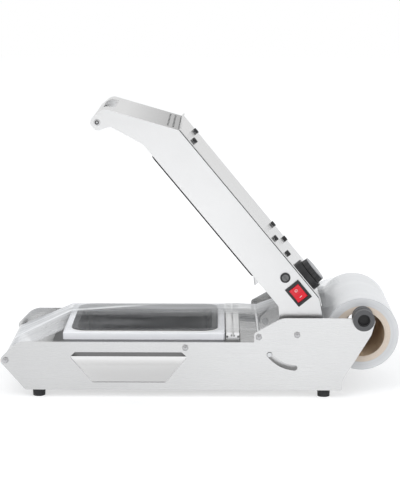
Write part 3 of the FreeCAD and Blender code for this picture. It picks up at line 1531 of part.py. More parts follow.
def cable_gland():
    """The mains inlet on the left wall: gland body, thread and lock nut with a clear bore."""
    along, level = S.gland_along, S.gland_level
    foot = ARM_IN - S.gland_thread_long
    outer = cylinder("gland_out", S.gland_round, S.gland_long, along, ARM_OUT, level)
    thread = cylinder("gland_thread", S.gland_thread_round, ARM_OUT - foot, along, foot, level)
    nut = cylinder("gland_nut", S.gland_round, S.gland_nut_long, along, ARM_IN - S.gland_nut_long, level)
    bore = cylinder("gland_bore", S.gland_bore_round, ARM_OUT + S.gland_long - foot + THROUGH * 2,
                    along, foot - THROUGH, level)
    return finish("cable_gland", on_arm(cut("gland_cut", fuse("gland", [outer, thread, nut]), [bore])))


def make_all():
    side_plate("side_plate_right", RIGHT)
    side_plate("side_plate_left", LEFT)
    bottom_pan()
    rubber_feet()
    foot_screws()
    rear_panel()
    deck_plate()
    mould_frame()
    locating = group("dowels", dowels("dowel", 0.0))
    finish("mould_dowels", locating)
    finish("mould_gasket", gasket_ring("gasket", GASKET_TOP - S.gasket_high, S.gasket_high))
    food_tray()
    cutter_rail()
    cross_rod("film_guide_rod", S.guide_rod_round, GUIDE_ROD_ALONG, GUIDE_ROD_LEVEL)
    cross_rod("nose_rod", S.nose_rod_round, NOSE_ROD_ALONG, S.nose_rod_level)
    cross_rod("pivot_shaft", S.pivot_round, PIVOT_ALONG, PIVOT_LEVEL)
    spring_posts()
    dome_nuts()
    counter_springs()
    film_spindle()
    spindle_hubs()
    roll_ring("roll_core", S.core_round, S.core_bore)
    roll_ring("roll_film", S.roll_round, S.core_round)
    film_web()
    pivot_bushes()
    stop_pins()
    arm_wall("arm_wall_right", RIGHT)
    arm_wall("arm_wall_left", LEFT)
    cover_seals()
    top_cover()
    front_panel()
    handle_strap()
    handle_bar()
    handle_screws()
    electrics_tray()
    heater_plate()
    heating_element()
    insulation_sheet()
    suspension_bolts()
    cap_nuts("suspension_nuts", bolt_spots(), COVER_TOP + S.bolt_gap)
    suspension_springs()
    cutter_blade()
    blade_holder()
    blade_studs()
    cap_nuts("blade_nuts", stud_spots(), COVER_TOP)
    thermostat_body()
    knob_base()
    knob_shaft()
    control_knob()
    switch_body()
    rocker()
    fuse_holder()
    fuse_cap()
    terminal_block()
    cable_gland()


def check_and_write():
    """Stops on any failed object or bad shape, then writes each sub-part."""
    doc.recompute()
    for thing in doc.Objects:
        if "Invalid" in thing.State or "Error" in thing.State:
            raise RuntimeError("%s failed to build" % thing.Label)
    for thing in PARTS:
        if thing.Shape.isNull() or not thing.Shape.isValid() or not thing.Shape.Solids:
            raise RuntimeError("%s has no valid solid" % thing.Label)
    os.makedirs("parts", exist_ok=True)
    for thing in PARTS:
        thing.Shape.exportStep("parts/%s.step" % thing.Label)
        print("%-20s %2d solids %10.1f mm3" % (thing.Label, len(thing.Shape.Solids), thing.Shape.Volume))


make_all()
check_and_write()
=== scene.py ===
"""Looks of the bench tray sealer: finishes, film, coil springs, knob, marks, light and camera.

Metres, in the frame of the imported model: +X from the handle end to the film roll, +Z up.
Small sizes are written in millimetres times MM.
"""

import json
import math

import bmesh
import bpy
from mathutils import Matrix, Vector, noise
from mathutils.bvhtree import BVHTree


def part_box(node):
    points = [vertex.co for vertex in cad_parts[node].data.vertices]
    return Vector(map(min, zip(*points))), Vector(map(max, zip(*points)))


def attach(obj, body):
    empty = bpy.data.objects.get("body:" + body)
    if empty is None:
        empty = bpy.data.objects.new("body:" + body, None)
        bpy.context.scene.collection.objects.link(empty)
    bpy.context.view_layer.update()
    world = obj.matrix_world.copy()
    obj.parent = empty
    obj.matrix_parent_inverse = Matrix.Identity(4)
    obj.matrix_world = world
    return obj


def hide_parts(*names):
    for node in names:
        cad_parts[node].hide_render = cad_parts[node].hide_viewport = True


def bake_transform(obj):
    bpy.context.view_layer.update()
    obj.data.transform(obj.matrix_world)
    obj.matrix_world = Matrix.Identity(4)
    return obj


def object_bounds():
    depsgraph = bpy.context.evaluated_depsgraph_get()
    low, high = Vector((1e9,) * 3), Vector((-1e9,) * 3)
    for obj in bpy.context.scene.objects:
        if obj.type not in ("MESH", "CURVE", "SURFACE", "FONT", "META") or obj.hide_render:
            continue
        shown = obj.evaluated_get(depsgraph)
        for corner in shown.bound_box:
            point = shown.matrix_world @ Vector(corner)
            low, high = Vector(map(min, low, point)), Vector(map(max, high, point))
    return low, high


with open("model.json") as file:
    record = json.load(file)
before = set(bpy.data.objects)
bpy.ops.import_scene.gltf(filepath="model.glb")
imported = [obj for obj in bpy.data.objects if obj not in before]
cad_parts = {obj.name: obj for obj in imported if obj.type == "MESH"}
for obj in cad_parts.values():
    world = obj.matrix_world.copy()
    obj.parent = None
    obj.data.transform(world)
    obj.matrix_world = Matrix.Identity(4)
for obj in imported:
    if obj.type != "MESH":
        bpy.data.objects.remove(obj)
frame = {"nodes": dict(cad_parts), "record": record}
cad_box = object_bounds()
nodes = frame["nodes"]

MM = 0.001
JOINTS = {joint["name"]: joint for joint in frame["record"]["behaviour"]["joints"]}
HINGE = Vector(JOINTS["arm_hinge"]["pos_m"])
OPEN = math.radians(-JOINTS["arm_hinge"]["range_deg"][0])
ARM = Matrix.Translation(HINGE) @ Matrix.Rotation(OPEN, 4, "Y")
TO_ARM = ARM.inverted()
SIDES = (-1, 1)


def set_range(node, start, end, low, high):
    """Makes a Map Range node take start..end to low..high."""
    for socket, number in (("From Min", start), ("From Max", end), ("To Min", low), ("To Max", high)):
        node.inputs[socket].default_value = number


# Finishes

EDGE_EASE = 0.3 * MM            # radius that softens the edges of small metal parts
SHEET_EDGE_EASE = 0.5 * MM
PLASTIC_EDGE_EASE = 0.35 * MM
MARK_SCALE = (900.0, 900.0, 900.0)
HUB_RECESS = 9.5 * MM
SOCKET_REACH = 2.9 * MM         # half the width of a screw's socket

# The clear film's haze: opacity added by each of its zones
PLAIN_HAZE = 0.05
BROAD_HAZE = 0.10
# Painted reflection on the film, growing towards its far edge and more so behind the mould:
FAR_REFLECTION_HAZE = 0.48
FAR_BEHIND_REFLECTION_HAZE = 0.26
AHEAD_HAZE = 0.42
# Painted sheen along one crease: it adds opacity and lightens the film's colour.
CREASE_SHEEN_HAZE = 0.40
NOSE_HAZE = 0.28
CREASE_SLOPE = 0.33             # how fast the crease runs towards the far edge
CREASE_AT = 42 * MM             # across, where it meets the tray


class Look:
    """A procedural material, built node by node round one principled shader."""

    def __init__(self, name, colour, rough=0.5, metal=0.0, **sockets):
        self.material = bpy.data.materials.new(name)
        self.material.use_nodes = True
        self.tree = self.material.node_tree
        self.shader = self.tree.nodes["Principled BSDF"]
        self.set("Base Color", (*colour, 1.0))
        self.set("Roughness", rough)
        self.set("Metallic", metal)
        for socket, value in sockets.items():
            self.set(socket.replace("_", " "), value)

    def set(self, socket, value):
        self.shader.inputs[socket].default_value = value

    def node(self, kind, **inputs):
        made = self.tree.nodes.new(kind)
        for socket, value in inputs.items():
            self.feed(made.inputs[socket.replace("_", " ")], value)
        return made

    def feed(self, socket, value):
        if isinstance(value, bpy.types.NodeSocket):
            self.tree.links.new(value, socket)
        else:
            socket.default_value = value

    def link(self, socket, value):
        self.feed(self.shader.inputs[socket], value)

    def place(self, scale=(1, 1, 1), turn=0.0, centre=(0, 0, 0)):
        """Object coordinates about a centre, turned about Y and scaled."""
        coordinates = self.node("ShaderNodeTexCoord").outputs["Object"]
        shift = self.node("ShaderNodeVectorMath", Vector=coordinates)
        shift.operation = "SUBTRACT"
        shift.inputs[1].default_value = centre
        rotate = self.node("ShaderNodeVectorRotate", Vector=shift.outputs[0], Angle=-turn)
        rotate.rotation_type = "Y_AXIS"
        stretch = self.node("ShaderNodeVectorMath", Vector=rotate.outputs[0])
        stretch.operation = "MULTIPLY"
        stretch.inputs[1].default_value = scale
        return stretch.outputs[0]

    def noise(self, where, scale=1.0, detail=3.0, rough=0.55):
        made = self.node("ShaderNodeTexNoise", Vector=where, Scale=scale, Detail=detail, Roughness=rough)
        return made.outputs["Fac"]

    def spread(self, value, low, high, start=0.3, end=0.7):
        """Maps a value from start..end to low..high."""
        made = self.node("ShaderNodeMapRange", Value=value)
        set_range(made, start, end, low, high)
        return made.outputs["Result"]

    def sum_or_product(self, operation, first, second):
        made = self.node("ShaderNodeMath")
        made.operation = operation
        self.feed(made.inputs[0], first)
        self.feed(made.inputs[1], second)
        return made.outputs[0]

    def plus(self, first, second):
        return self.sum_or_product("ADD", first, second)

    def times(self, first, second):
        return self.sum_or_product("MULTIPLY", first, second)

    def tint(self, fac, first, second, way="MIX"):
        """Mixes two colours, each a triple or a socket."""
        made = self.node("ShaderNodeMix")
        made.data_type = "RGBA"
        made.blend_type = way
        self.feed(made.inputs[0], fac)
        colours = [socket for socket in made.inputs if socket.type == "RGBA"]
        for socket, colour in zip(colours, (first, second)):
            self.feed(socket, colour if isinstance(colour, bpy.types.NodeSocket) else (*colour, 1.0))
        return [socket for socket in made.outputs if socket.type == "RGBA"][0]

    def part_of(self, vector, axis):
        return self.node("ShaderNodeSeparateXYZ", Vector=vector).outputs[axis]

    def length(self, vector):
        made = self.node("ShaderNodeVectorMath", Vector=vector)
        made.operation = "LENGTH"
        return made.outputs["Value"]

    def bump(self, height, depth, edge=0.0):
        """A bump of the given depth, with the edges eased by a small radius."""
        made = self.node("ShaderNodeBump", Height=height, Distance=depth, Strength=1.0)
        if edge:
            bevel = self.node("ShaderNodeBevel", Radius=edge)
            bevel.samples = 4
            self.feed(made.inputs["Normal"], bevel.outputs["Normal"])
        self.link("Normal", made.outputs["Normal"])


def steel(name, colour, rough, turn=0.0, grain=(5.0, 1700.0, 1700.0), spread=0.04, painted_shade=None, edge=1.0):
    """Satin sheet steel, brushed lengthwise, with faint clouding and, where asked, painted shade along its
    length.

    The painted shade is given as (start, end, share): the sheet is darker by share at the start and plain
    from the end on.
    edge is the tint at grazing angles.
    """
    look = Look(name, colour, rough, 1.0, Specular_Tint=(edge, edge, edge, 1.0))
    lines = look.noise(look.place(grain, turn), 1.0, 5.0, 0.6)
    clouds = look.noise(look.place((1, 1, 1), turn), 9.0, 2.0)
    dark = tuple(c * (1 - spread) for c in colour)
    tone = look.tint(look.spread(clouds, 0.0, 1.0), dark, colour)
    # Painted shade: the sheet's colour is darkened towards one end along X.
    if painted_shade:
        start, end, share = painted_shade
        along = look.part_of(look.place(), "X")
        tone = look.tint(look.spread(along, share, 0.0, start, end), tone, (0.0, 0.0, 0.0))
    look.link("Base Color", tone)
    look.link("Roughness", look.spread(lines, rough * 0.88, rough * 1.12))
    look.bump(lines, 0.005 * MM, SHEET_EDGE_EASE)
    return look.material


def bright(name, colour, rough):
    """Turned or plated metal with fine marks."""
    look = Look(name, colour, rough, 1.0)
    marks = look.noise(look.place(MARK_SCALE), 1.0, 2.0)
    look.link("Roughness", look.spread(marks, rough * 0.7, rough * 1.4))
    look.bump(marks, 0.004 * MM, EDGE_EASE)
    return look.material


def plastic(name, colour, rough, grain, depth, variation, **sockets):
    """Moulded plastic or rubber with a fine spark texture, its depth in millimetres."""
    look = Look(name, colour, rough, 0.0, **sockets)
    grit = look.noise(look.place((grain, grain, grain)), 1.0, 2.0)
    clouds = look.noise(look.place(), 25.0, 2.0)
    dark = tuple(c * (1 - variation) for c in colour)
    look.link("Base Color", look.tint(look.spread(clouds, 0.0, 1.0), dark, colour))
    look.link("Roughness", look.spread(grit, rough * 0.85, min(1.0, rough * 1.15)))
    look.bump(grit, depth * MM, PLASTIC_EDGE_EASE)
    return look.material


def wound_film(name, centre):
    """Tightly wound clear film: fine rings on the ends, faint bands along the surface."""
    look = Look(name, (0.6, 0.6, 0.6), 0.24, 0.0, Specular_IOR_Level=0.55)
    radius = look.length(look.place((1, 0, 1), 0.0, centre))
    line = look.node("ShaderNodeCombineXYZ", X=radius).outputs[0]
    rings = look.noise(line, 1400.0, 4.0, 0.7)
    wide = look.noise(line, 160.0, 2.0)
    bands = look.noise(look.place((9.0, 60.0, 9.0), 0.0, centre), 1.0, 3.0)
    both = look.plus(look.spread(rings, 0.0, 0.5), look.spread(wide, 0.0, 0.5))
    pale = look.tint(both, (0.60, 0.605, 0.61), (0.77, 0.775, 0.78))
    soft = look.tint(look.spread(bands, 0.0, 1.0), (0.90, 0.90, 0.91), (1.0, 1.0, 1.0))
    look.link("Base Color", look.tint(0.6, pale, soft, "MULTIPLY"))
    look.bump(rings, 0.02 * MM, 0.4 * MM)
    return look.material


def board(name, centre):
    """Spirally wound brown board with pale speckled cut ends."""
    look = Look(name, (0.50, 0.38, 0.27), 0.85)
    fibres = look.noise(look.place((90.0, 30.0, 90.0)), 1.0, 4.0)
    radius = look.length(look.place((1, 0, 1), 0.0, centre))
    plies = look.noise(look.node("ShaderNodeCombineXYZ", X=radius).outputs[0], 900.0, 2.0)
    specks = look.noise(look.place((600.0, 600.0, 600.0)), 1.0, 2.0)
    facing = look.node("ShaderNodeMath")
    facing.operation = "ABSOLUTE"
    look.feed(facing.inputs[0], look.part_of(look.node("ShaderNodeNewGeometry").outputs["Normal"], "Y"))
    brown = look.tint(look.spread(fibres, 0.0, 1.0), (0.62, 0.47, 0.33), (0.78, 0.62, 0.45))
    pale = look.tint(look.spread(plies, 0.0, 1.0), (0.68, 0.57, 0.47), (0.84, 0.76, 0.67))
    speckled = look.tint(look.spread(specks, 0.0, 0.35), pale, (0.52, 0.40, 0.30))
    look.link("Base Color", look.tint(look.spread(facing.outputs[0], 0.0, 1.0, 0.4, 0.6), brown, speckled))
    look.bump(fibres, 0.08 * MM, EDGE_EASE)
    return look.material


def clear_film(name, roll_end):
    """A clear web with lengthwise streaks and a painted sheen along one crease.

    It is hazier where it hangs loose, with painted shade darkening it there, carries a painted reflection
    that grows towards its far edge, and fades out where it meets the roll.
    """
    look = Look(name, (0.8, 0.8, 0.8), 0.22, 0.0, Specular_IOR_Level=0.7)
    mould_low, mould_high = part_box("mould_frame")
    tray_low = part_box("food_tray")[0]
    where = look.place()
    along, across = look.part_of(where, "X"), look.part_of(where, "Y")
    ahead = look.spread(along, 1.0, 0.0, mould_low.x - 6 * MM, mould_low.x + 4 * MM)
    behind = look.spread(along, 0.0, 1.0, mould_high.x - 12 * MM, mould_high.x + 25 * MM)
    far = look.spread(across, 0.0, 1.0, -5 * MM, 85 * MM)
    # Painted sheen: a soft band along a crease that runs slantwise over the tray.
    slant = look.plus(across, look.times(look.plus(along, -tray_low.x), -CREASE_SLOPE))
    painted_crease_sheen = look.times(look.spread(slant, 0.0, 1.0, CREASE_AT - 7 * MM, CREASE_AT),
                        look.spread(slant, 1.0, 0.0, CREASE_AT, CREASE_AT + 12 * MM))
    painted_crease_sheen = look.times(painted_crease_sheen, look.spread(along, 1.0, 0.0, tray_low.x + 60 * MM, tray_low.x + 130 * MM))
    streaks = look.spread(look.noise(look.place((6.0, 190.0, 6.0)), 1.0, 5.0, 0.65), 0.0, 1.0, 0.38, 0.72)
    broad = look.spread(look.noise(look.place((6.0, 24.0, 6.0)), 1.0, 2.0, 0.5), 0.0, 1.0, 0.35, 0.65)
    nose = look.spread(along, 1.0, 0.0, cad_box[0].x + 20 * MM, cad_box[0].x + 60 * MM)
    haze = look.plus(PLAIN_HAZE, look.times(broad, BROAD_HAZE))
    # Painted reflection: more opacity towards the far edge, and more behind the mould.
    haze = look.plus(haze, look.times(far, look.plus(FAR_REFLECTION_HAZE, look.times(behind, FAR_BEHIND_REFLECTION_HAZE))))
    haze = look.plus(haze, look.times(ahead, AHEAD_HAZE))
    haze = look.plus(haze, look.times(painted_crease_sheen, CREASE_SHEEN_HAZE))
    haze = look.plus(haze, look.times(nose, NOSE_HAZE))
    lines = look.plus(0.06, look.times(look.plus(ahead, behind), 0.16))
    shown = look.plus(haze, look.times(streaks, lines))
    before_roll = look.spread(along, 1.0, 0.0, roll_end - 32 * MM, roll_end - 3 * MM)
    look.link("Alpha", look.times(shown, before_roll))
    # The crease's painted sheen lightens the colour along with the streaks.
    pale = look.tint(look.plus(streaks, painted_crease_sheen), (0.62, 0.63, 0.64), (0.93, 0.94, 0.95))
    # Painted shade: the film hanging ahead of the mould is darker.
    look.link("Base Color", look.tint(look.times(ahead, 0.6), pale, (0.74, 0.74, 0.75), "MULTIPLY"))
    look.bump(streaks, 0.12 * MM)
    look.material.surface_render_method = "BLENDED"
    return look.material


def inside_of(look, centre, reach):
    """1 within a radius about an axis along Y, 0 outside it."""
    radius = look.length(look.place((1, 0, 1), 0.0, centre))
    return look.spread(radius, 1.0, 0.0, reach - 0.8 * MM, reach + 0.2 * MM)


def screw_steel(name, centre):
    """Plated screw head, with a ring of painted shade round the walls of its socket."""
    look = Look(name, (0.55, 0.55, 0.56), 0.2, 1.0)
    marks = look.noise(look.place(MARK_SCALE), 1.0, 2.0)
    floor = inside_of(look, centre, SOCKET_REACH * 0.6)
    # Painted shade: a dark ring between the socket's floor and its rim.
    painted_socket_shade = look.times(inside_of(look, centre, SOCKET_REACH * 1.2), look.plus(1.0, look.times(-1.0, floor)))
    look.link("Base Color", look.tint(painted_socket_shade, (0.62, 0.62, 0.63), (0.05, 0.05, 0.05)))
    look.link("Roughness", look.spread(marks, 0.14, 0.28))
    look.bump(marks, 0.004 * MM, EDGE_EASE)
    return look.material


def hub(name, centre):
    """Dark moulded hub, with painted shade inside its recess."""
    look = Look(name, (0.085, 0.085, 0.088), 0.5)
    grit = look.noise(look.place((500.0, 500.0, 500.0)), 1.0, 2.0)
    # Painted shade: the recess is coloured near black.
    inside = inside_of(look, centre, HUB_RECESS)
    look.link("Base Color", look.tint(inside, (0.088, 0.088, 0.091), (0.012, 0.012, 0.013)))
    look.link("Roughness", look.spread(grit, 0.44, 0.58))
    look.bump(grit, 0.03 * MM, PLASTIC_EDGE_EASE)
    return look.material


HUB_LOW, HUB_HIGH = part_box("spindle_hubs")
ROLL_LOW, ROLL_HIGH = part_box("roll_film")
ROLL = (ROLL_LOW + ROLL_HIGH) / 2
SCREW_LOW, SCREW_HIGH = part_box("handle_screws")
STRAP_LOW, STRAP_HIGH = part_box("handle_strap")
ARM_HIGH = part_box("arm_wall_right")[1]

FINISH = {
    # Painted shade: the base plates are darker towards the handle end, the arm and the strap towards their
    # high ends along X.
    "stainless": steel("satin_base", (0.72, 0.72, 0.72), 0.27, painted_shade=(cad_box[0].x, 60 * MM, 0.12)),
    "stainless_arm": steel("satin_arm", (0.89, 0.89, 0.89), 0.33, OPEN,
                           painted_shade=(ARM_HIGH.x - 20 * MM, ARM_HIGH.x - 190 * MM, 0.17)),
    "stainless_cover": steel("satin_cover", (0.70, 0.70, 0.70), 0.22, OPEN, edge=0.88),
    "stainless_strap": steel("satin_strap", (0.86, 0.86, 0.86), 0.24, OPEN, edge=0.80,
                             painted_shade=(STRAP_HIGH.x, STRAP_LOW.x + 45 * MM, 0.62)),
    # Painted shade: the deck's steel is coloured dark for the shadow it lies in under the arm.
    "deck_painted_shade": steel("deck_steel_painted_shade", (0.20, 0.20, 0.20), 0.36),
    "bright_steel": bright("bright_steel", (0.66, 0.67, 0.68), 0.18),
    "nut_steel": bright("nut_steel", (0.50, 0.50, 0.51), 0.10),
    "socket_steel": screw_steel("socket_steel", (SCREW_LOW + SCREW_HIGH) / 2),
    "spring_steel": bright("spring_steel", (0.55, 0.56, 0.58), 0.28),
    "white_block": plastic("white_block", (0.90, 0.90, 0.92), 0.42, 900.0, 0.01, 0.03),
    "seal_rubber": plastic("seal_rubber", (0.80, 0.79, 0.76), 0.55, 500.0, 0.02, 0.06),
    "black_rubber": plastic("black_rubber", (0.028, 0.028, 0.03), 0.72, 600.0, 0.03, 0.2),
    "tray_plastic": plastic("tray_plastic", (0.024, 0.025, 0.028), 0.55, 350.0, 0.02, 0.25,
                            Specular_IOR_Level=0.28),
    "rail_alloy": steel("rail_alloy", (0.84, 0.84, 0.84), 0.34, 0.0, (300.0, 9.0, 300.0), 0.03),
    "hub_plastic": hub("hub_plastic", (HUB_LOW + HUB_HIGH) / 2),
    "core_board": board("core_board", ROLL),
    "roll_film": wound_film("roll_film", ROLL),
    "clear_film": clear_film("clear_film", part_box("film_web")[1].x),
    "coated_alloy": plastic("coated_alloy", (0.022, 0.022, 0.024), 0.75, 900.0, 0.02, 0.3,
                            Specular_IOR_Level=0.2),
    "element_steel": bright("element_steel", (0.26, 0.25, 0.24), 0.4),
    "insulation": plastic("insulation", (0.70, 0.68, 0.62), 0.9, 260.0, 0.15, 0.2),
    "black_plastic": plastic("black_plastic", (0.022, 0.022, 0.023), 0.42, 650.0, 0.03, 0.2),
    "red_plastic": plastic("red_plastic", (0.74, 0.016, 0.032), 0.24, 300.0, 0.008, 0.1),
    "cap_grey": plastic("cap_grey", (0.36, 0.36, 0.37), 0.45, 600.0, 0.01, 0.06),
    "grey_plastic": plastic("grey_plastic", (0.17, 0.17, 0.17), 0.45, 600.0, 0.03, 0.15),
    "blade_steel": steel("blade_steel", (0.66, 0.67, 0.69), 0.22, OPEN),
    "bronze": bright("bronze", (0.60, 0.45, 0.25), 0.35),
    "mark_white": plastic("mark_white", (0.85, 0.80, 0.80), 0.5, 900.0, 0.005, 0.02),
}

# Nodes whose finish isn't their slot's
OWN_FINISH = {
    "top_cover": "stainless_cover",
    "front_panel": "stainless_cover",
    "handle_strap": "stainless_strap",
    "deck_plate": "deck_painted_shade",
}


def dress_nodes():
    """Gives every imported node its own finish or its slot's; the arm's sheets are brushed along the arm."""
    arm_nodes = set(frame["record"]["behaviour"]["bodies"]["arm"])
    for part in frame["record"]["subparts"]:
        name, slot = part["node"], part["material_slot"]
        chosen = OWN_FINISH.get(name, slot)
        if chosen == "stainless" and name in arm_nodes:
            chosen = "stainless_arm"
        mesh = nodes[name].data
        mesh.materials.clear()
        mesh.materials.append(FINISH[chosen])
        for face in mesh.polygons:
            face.material_index = 0


# Mesh helpers

def piece(name, mesh, finish, body, smooth=True):
    """A finished mesh piece that rides on a body, or on none."""
    made = bpy.data.objects.new(name, mesh)
    bpy.context.scene.collection.objects.link(made)
    mesh.materials.clear()
    mesh.materials.append(FINISH[finish])
    if smooth:
        mesh.polygons.foreach_set("use_smooth", [True] * len(mesh.polygons))
    if body:
        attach(made, body)
    return made


def mesh_of(name, points, faces):
    mesh = bpy.data.meshes.new(name)
    mesh.from_pydata([tuple(p) for p in points], [], faces)
    mesh.validate()
    return mesh


def joined(name, parts):
    """One mesh from several lists of points and faces."""
    points, faces = [], []
    for some, quads in parts:
        base = len(points)
        points += some
        faces += [tuple(base + i for i in face) for face in quads]
    return mesh_of(name, points, faces)


def rings_to_mesh(rings, closed_ends=True):
    """Skins a list of rings with equal counts of points."""
    count = len(rings[0])
    points = [p for ring in rings for p in ring]
    faces = []
    for r in range(len(rings) - 1):
        for i in range(count):
            j = (i + 1) % count
            faces.append((r * count + i, r * count + j, (r + 1) * count + j, (r + 1) * count + i))
    if closed_ends:
        faces.append(tuple(reversed(range(count))))
        last = (len(rings) - 1) * count
        faces.append(tuple(last + i for i in range(count)))
    return points, faces


def turned(centre, axis, profile, sides, shape=None):
    """A solid of revolution: profile is a list of (height, radius), shape varies the radius by angle."""
    axis = Vector(axis).normalized()
    side = axis.orthogonal().normalized()
    other = axis.cross(side)
    rings = []
    for height, radius in profile:
        ring = []
        for i in range(sides):
            angle = 2 * math.pi * i / sides
            reach = radius * (shape(angle, height) if shape else 1.0)
            out = side * math.cos(angle) + other * math.sin(angle)
            ring.append(Vector(centre) + axis * height + out * reach)
        rings.append(ring)
    return rings_to_mesh(rings)


COIL_STEPS = 18
WIRE_SIDES = 7


def coil(start, end, radius, wire, turns):
    """A helical wire from start to end."""
    axis = (end - start).normalized()
    side = axis.orthogonal().normalized()
    other = axis.cross(side)
    length = (end - start).length
    rings = []
    count = int(turns * COIL_STEPS)
    for k in range(count + 1):
        share = k / count
        angle = 2 * math.pi * turns * share
        out = side * math.cos(angle) + other * math.sin(angle)
        around = other * math.cos(angle) - side * math.sin(angle)
        tangent = (around * radius * 2 * math.pi * turns + axis * length).normalized()
        binormal = tangent.cross(out)
        centre = start + axis * length * share + out * radius
        ring = []
        for i in range(WIRE_SIDES):
            a = 2 * math.pi * i / WIRE_SIDES
            ring.append(centre + (out * math.cos(a) + binormal * math.sin(a)) * wire / 2)
        rings.append(ring)
    return rings_to_mesh(rings)


EYE_STEPS = 20
EYE_FROM = -160.0               # degrees from the coil's direction
EYE_SWEEP = 330.0


def hook(centre, axis, towards, reach, wire):
    """A round eye of wire about an axis, open on the side away from the coil."""
    axis, towards = Vector(axis).normalized(), Vector(towards).normalized()
    other = axis.cross(towards)
    rings = []
    for k in range(EYE_STEPS + 1):
        angle = math.radians(EYE_FROM + EYE_SWEEP * k / EYE_STEPS)
        out = towards * math.cos(angle) + other * math.sin(angle)
        rings.append([
            Vector(centre) + out * reach + (out * math.cos(a) + axis * math.sin(a)) * wire / 2
            for a in (2 * math.pi * i / WIRE_SIDES for i in range(WIRE_SIDES))
        ])
    return rings_to_mesh(rings)


# Springs

COUNTER_WIRE = 1.6 * MM
COUNTER_ROUND = 9.0 * MM
COUNTER_PITCH = 1.35            # from turn to turn, in wire diameters
POST_RADIUS = 3.5 * MM
EYE_GAP = 0.3 * MM              # between a post and the eye round it
SUSPENSION_WIRE = 1.4 * MM
SUSPENSION_ROUND = 12.0 * MM
SUSPENSION_TURNS = 8.5
BOLT_RADIUS = 2.5 * MM


def middle(node):
    low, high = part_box(node)
    return (low + high) / 2


def counter_springs():
    """The two balance springs from their posts to the stop pins."""
    post, pin = middle("spring_posts"), middle("stop_pins")
    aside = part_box("counter_springs")[1].y - COUNTER_ROUND / 2
    parts = []
    for side in SIDES:
        start = Vector((post.x, aside * side, post.z))
        end = Vector((pin.x, aside * side, pin.z))
        way = (end - start).normalized()
        reach = POST_RADIUS + COUNTER_WIRE / 2 + EYE_GAP
        first = start + way * (reach + COUNTER_WIRE / 2)
        last = end - way * (reach + COUNTER_WIRE / 2)
        turns = (last - first).length / (COUNTER_WIRE * COUNTER_PITCH)
        parts.append(coil(first, last, (COUNTER_ROUND - COUNTER_WIRE) / 2, COUNTER_WIRE, turns))
        parts.append(hook(start, (0, 1, 0), way, reach, COUNTER_WIRE))
        parts.append(hook(end, (0, 1, 0), -way, reach, COUNTER_WIRE))
    made = piece("balance_springs", joined("balance_springs", parts), "spring_steel", None)
    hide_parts("counter_springs")
    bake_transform(made)


def local_box(node):
    """Lowest and highest corner of an arm node in the arm's own frame."""
    points = [TO_ARM @ v.co for v in nodes[node].data.vertices]
    low = Vector([min(p[i] for p in points) for i in range(3)])
    high = Vector([max(p[i] for p in points) for i in range(3)])
    return low, high


def arm_point(along, across, up):
    return ARM @ Vector((along, across, up))


def bolt_axes():
    """Axes of the four suspension bolts as (along, across) in the arm's frame."""
    low, high = local_box("suspension_bolts")
    alongs = (round(low.x + BOLT_RADIUS, 6), round(high.x - BOLT_RADIUS, 6))
    return [(x, y) for x in alongs for y in (low.y + BOLT_RADIUS, high.y - BOLT_RADIUS)]


def suspension_springs():
    """The four coils on the heater's bolts."""
    low, high = local_box("suspension_springs")
    radius = (SUSPENSION_ROUND - SUSPENSION_WIRE) / 2
    parts = []
    for along, across in bolt_axes():
        first = arm_point(along, across, low.z + SUSPENSION_WIRE / 2)
        last = arm_point(along, across, high.z - SUSPENSION_WIRE / 2)
        parts.append(coil(first, last, radius, SUSPENSION_WIRE, SUSPENSION_TURNS))
    made = piece("heater_springs", joined("heater_springs", parts), "spring_steel", None)
    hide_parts("suspension_springs")
    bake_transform(made)


# Film

WEB_LIFT = 0.35 * MM            # of the film off what carries it
WEB_STEP = 4.0 * MM
WEB_ACROSS = 90                 # faces across the film
TAUT_DEPTH = 0.10 * MM          # height of its ripples on the tray
LOOSE_DEPTH = 1.5 * MM          # what they gain where it hangs loose
LOOSE_REACH = 60 * MM           # how far from the tray they have gained it all
FINE_SHARE = 0.4                # of the fine ripples in the broad ones


def web_path():
    """Side view of the film from the roll to the nose rod, as (along, level) corners."""
    guide = middle("film_guide_rod")
    guide_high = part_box("film_guide_rod")[1]
    nose = middle("nose_rod")
    nose_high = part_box("nose_rod")[1]
    tray_low, tray_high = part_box("food_tray")
    mould_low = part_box("mould_frame")[0]
    rail_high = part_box("cutter_rail")[1]
    flat = tray_high.z + WEB_LIFT
    guide_top = Vector((guide.x, guide_high.z + WEB_LIFT))
    centre = Vector((ROLL.x, ROLL.z))
    reach = (ROLL_HIGH.z - ROLL_LOW.z) / 2 + WEB_LIFT
    apart = centre - guide_top
    angle = math.atan2(apart.y, apart.x) + math.asin(reach / apart.length)
    tangent = math.sqrt(apart.length ** 2 - reach ** 2)
    leave = guide_top + Vector((math.cos(angle), math.sin(angle))) * tangent
    return [
        leave,
        guide_top,
        Vector((rail_high.x, flat)),
        Vector((tray_high.x, flat)),
        Vector((tray_low.x, flat)),
        Vector((mould_low.x, flat)),
        Vector((nose.x, nose_high.z + WEB_LIFT)),
    ]


def along_path(path, step):
    """Evenly spaced points on a chain of straight runs, with its corners kept."""
    points = [path[0]]
    for a, b in zip(path, path[1:]):
        count = max(1, round((b - a).length / step))
        points += [a.lerp(b, (k + 1) / count) for k in range(count)]
    return points


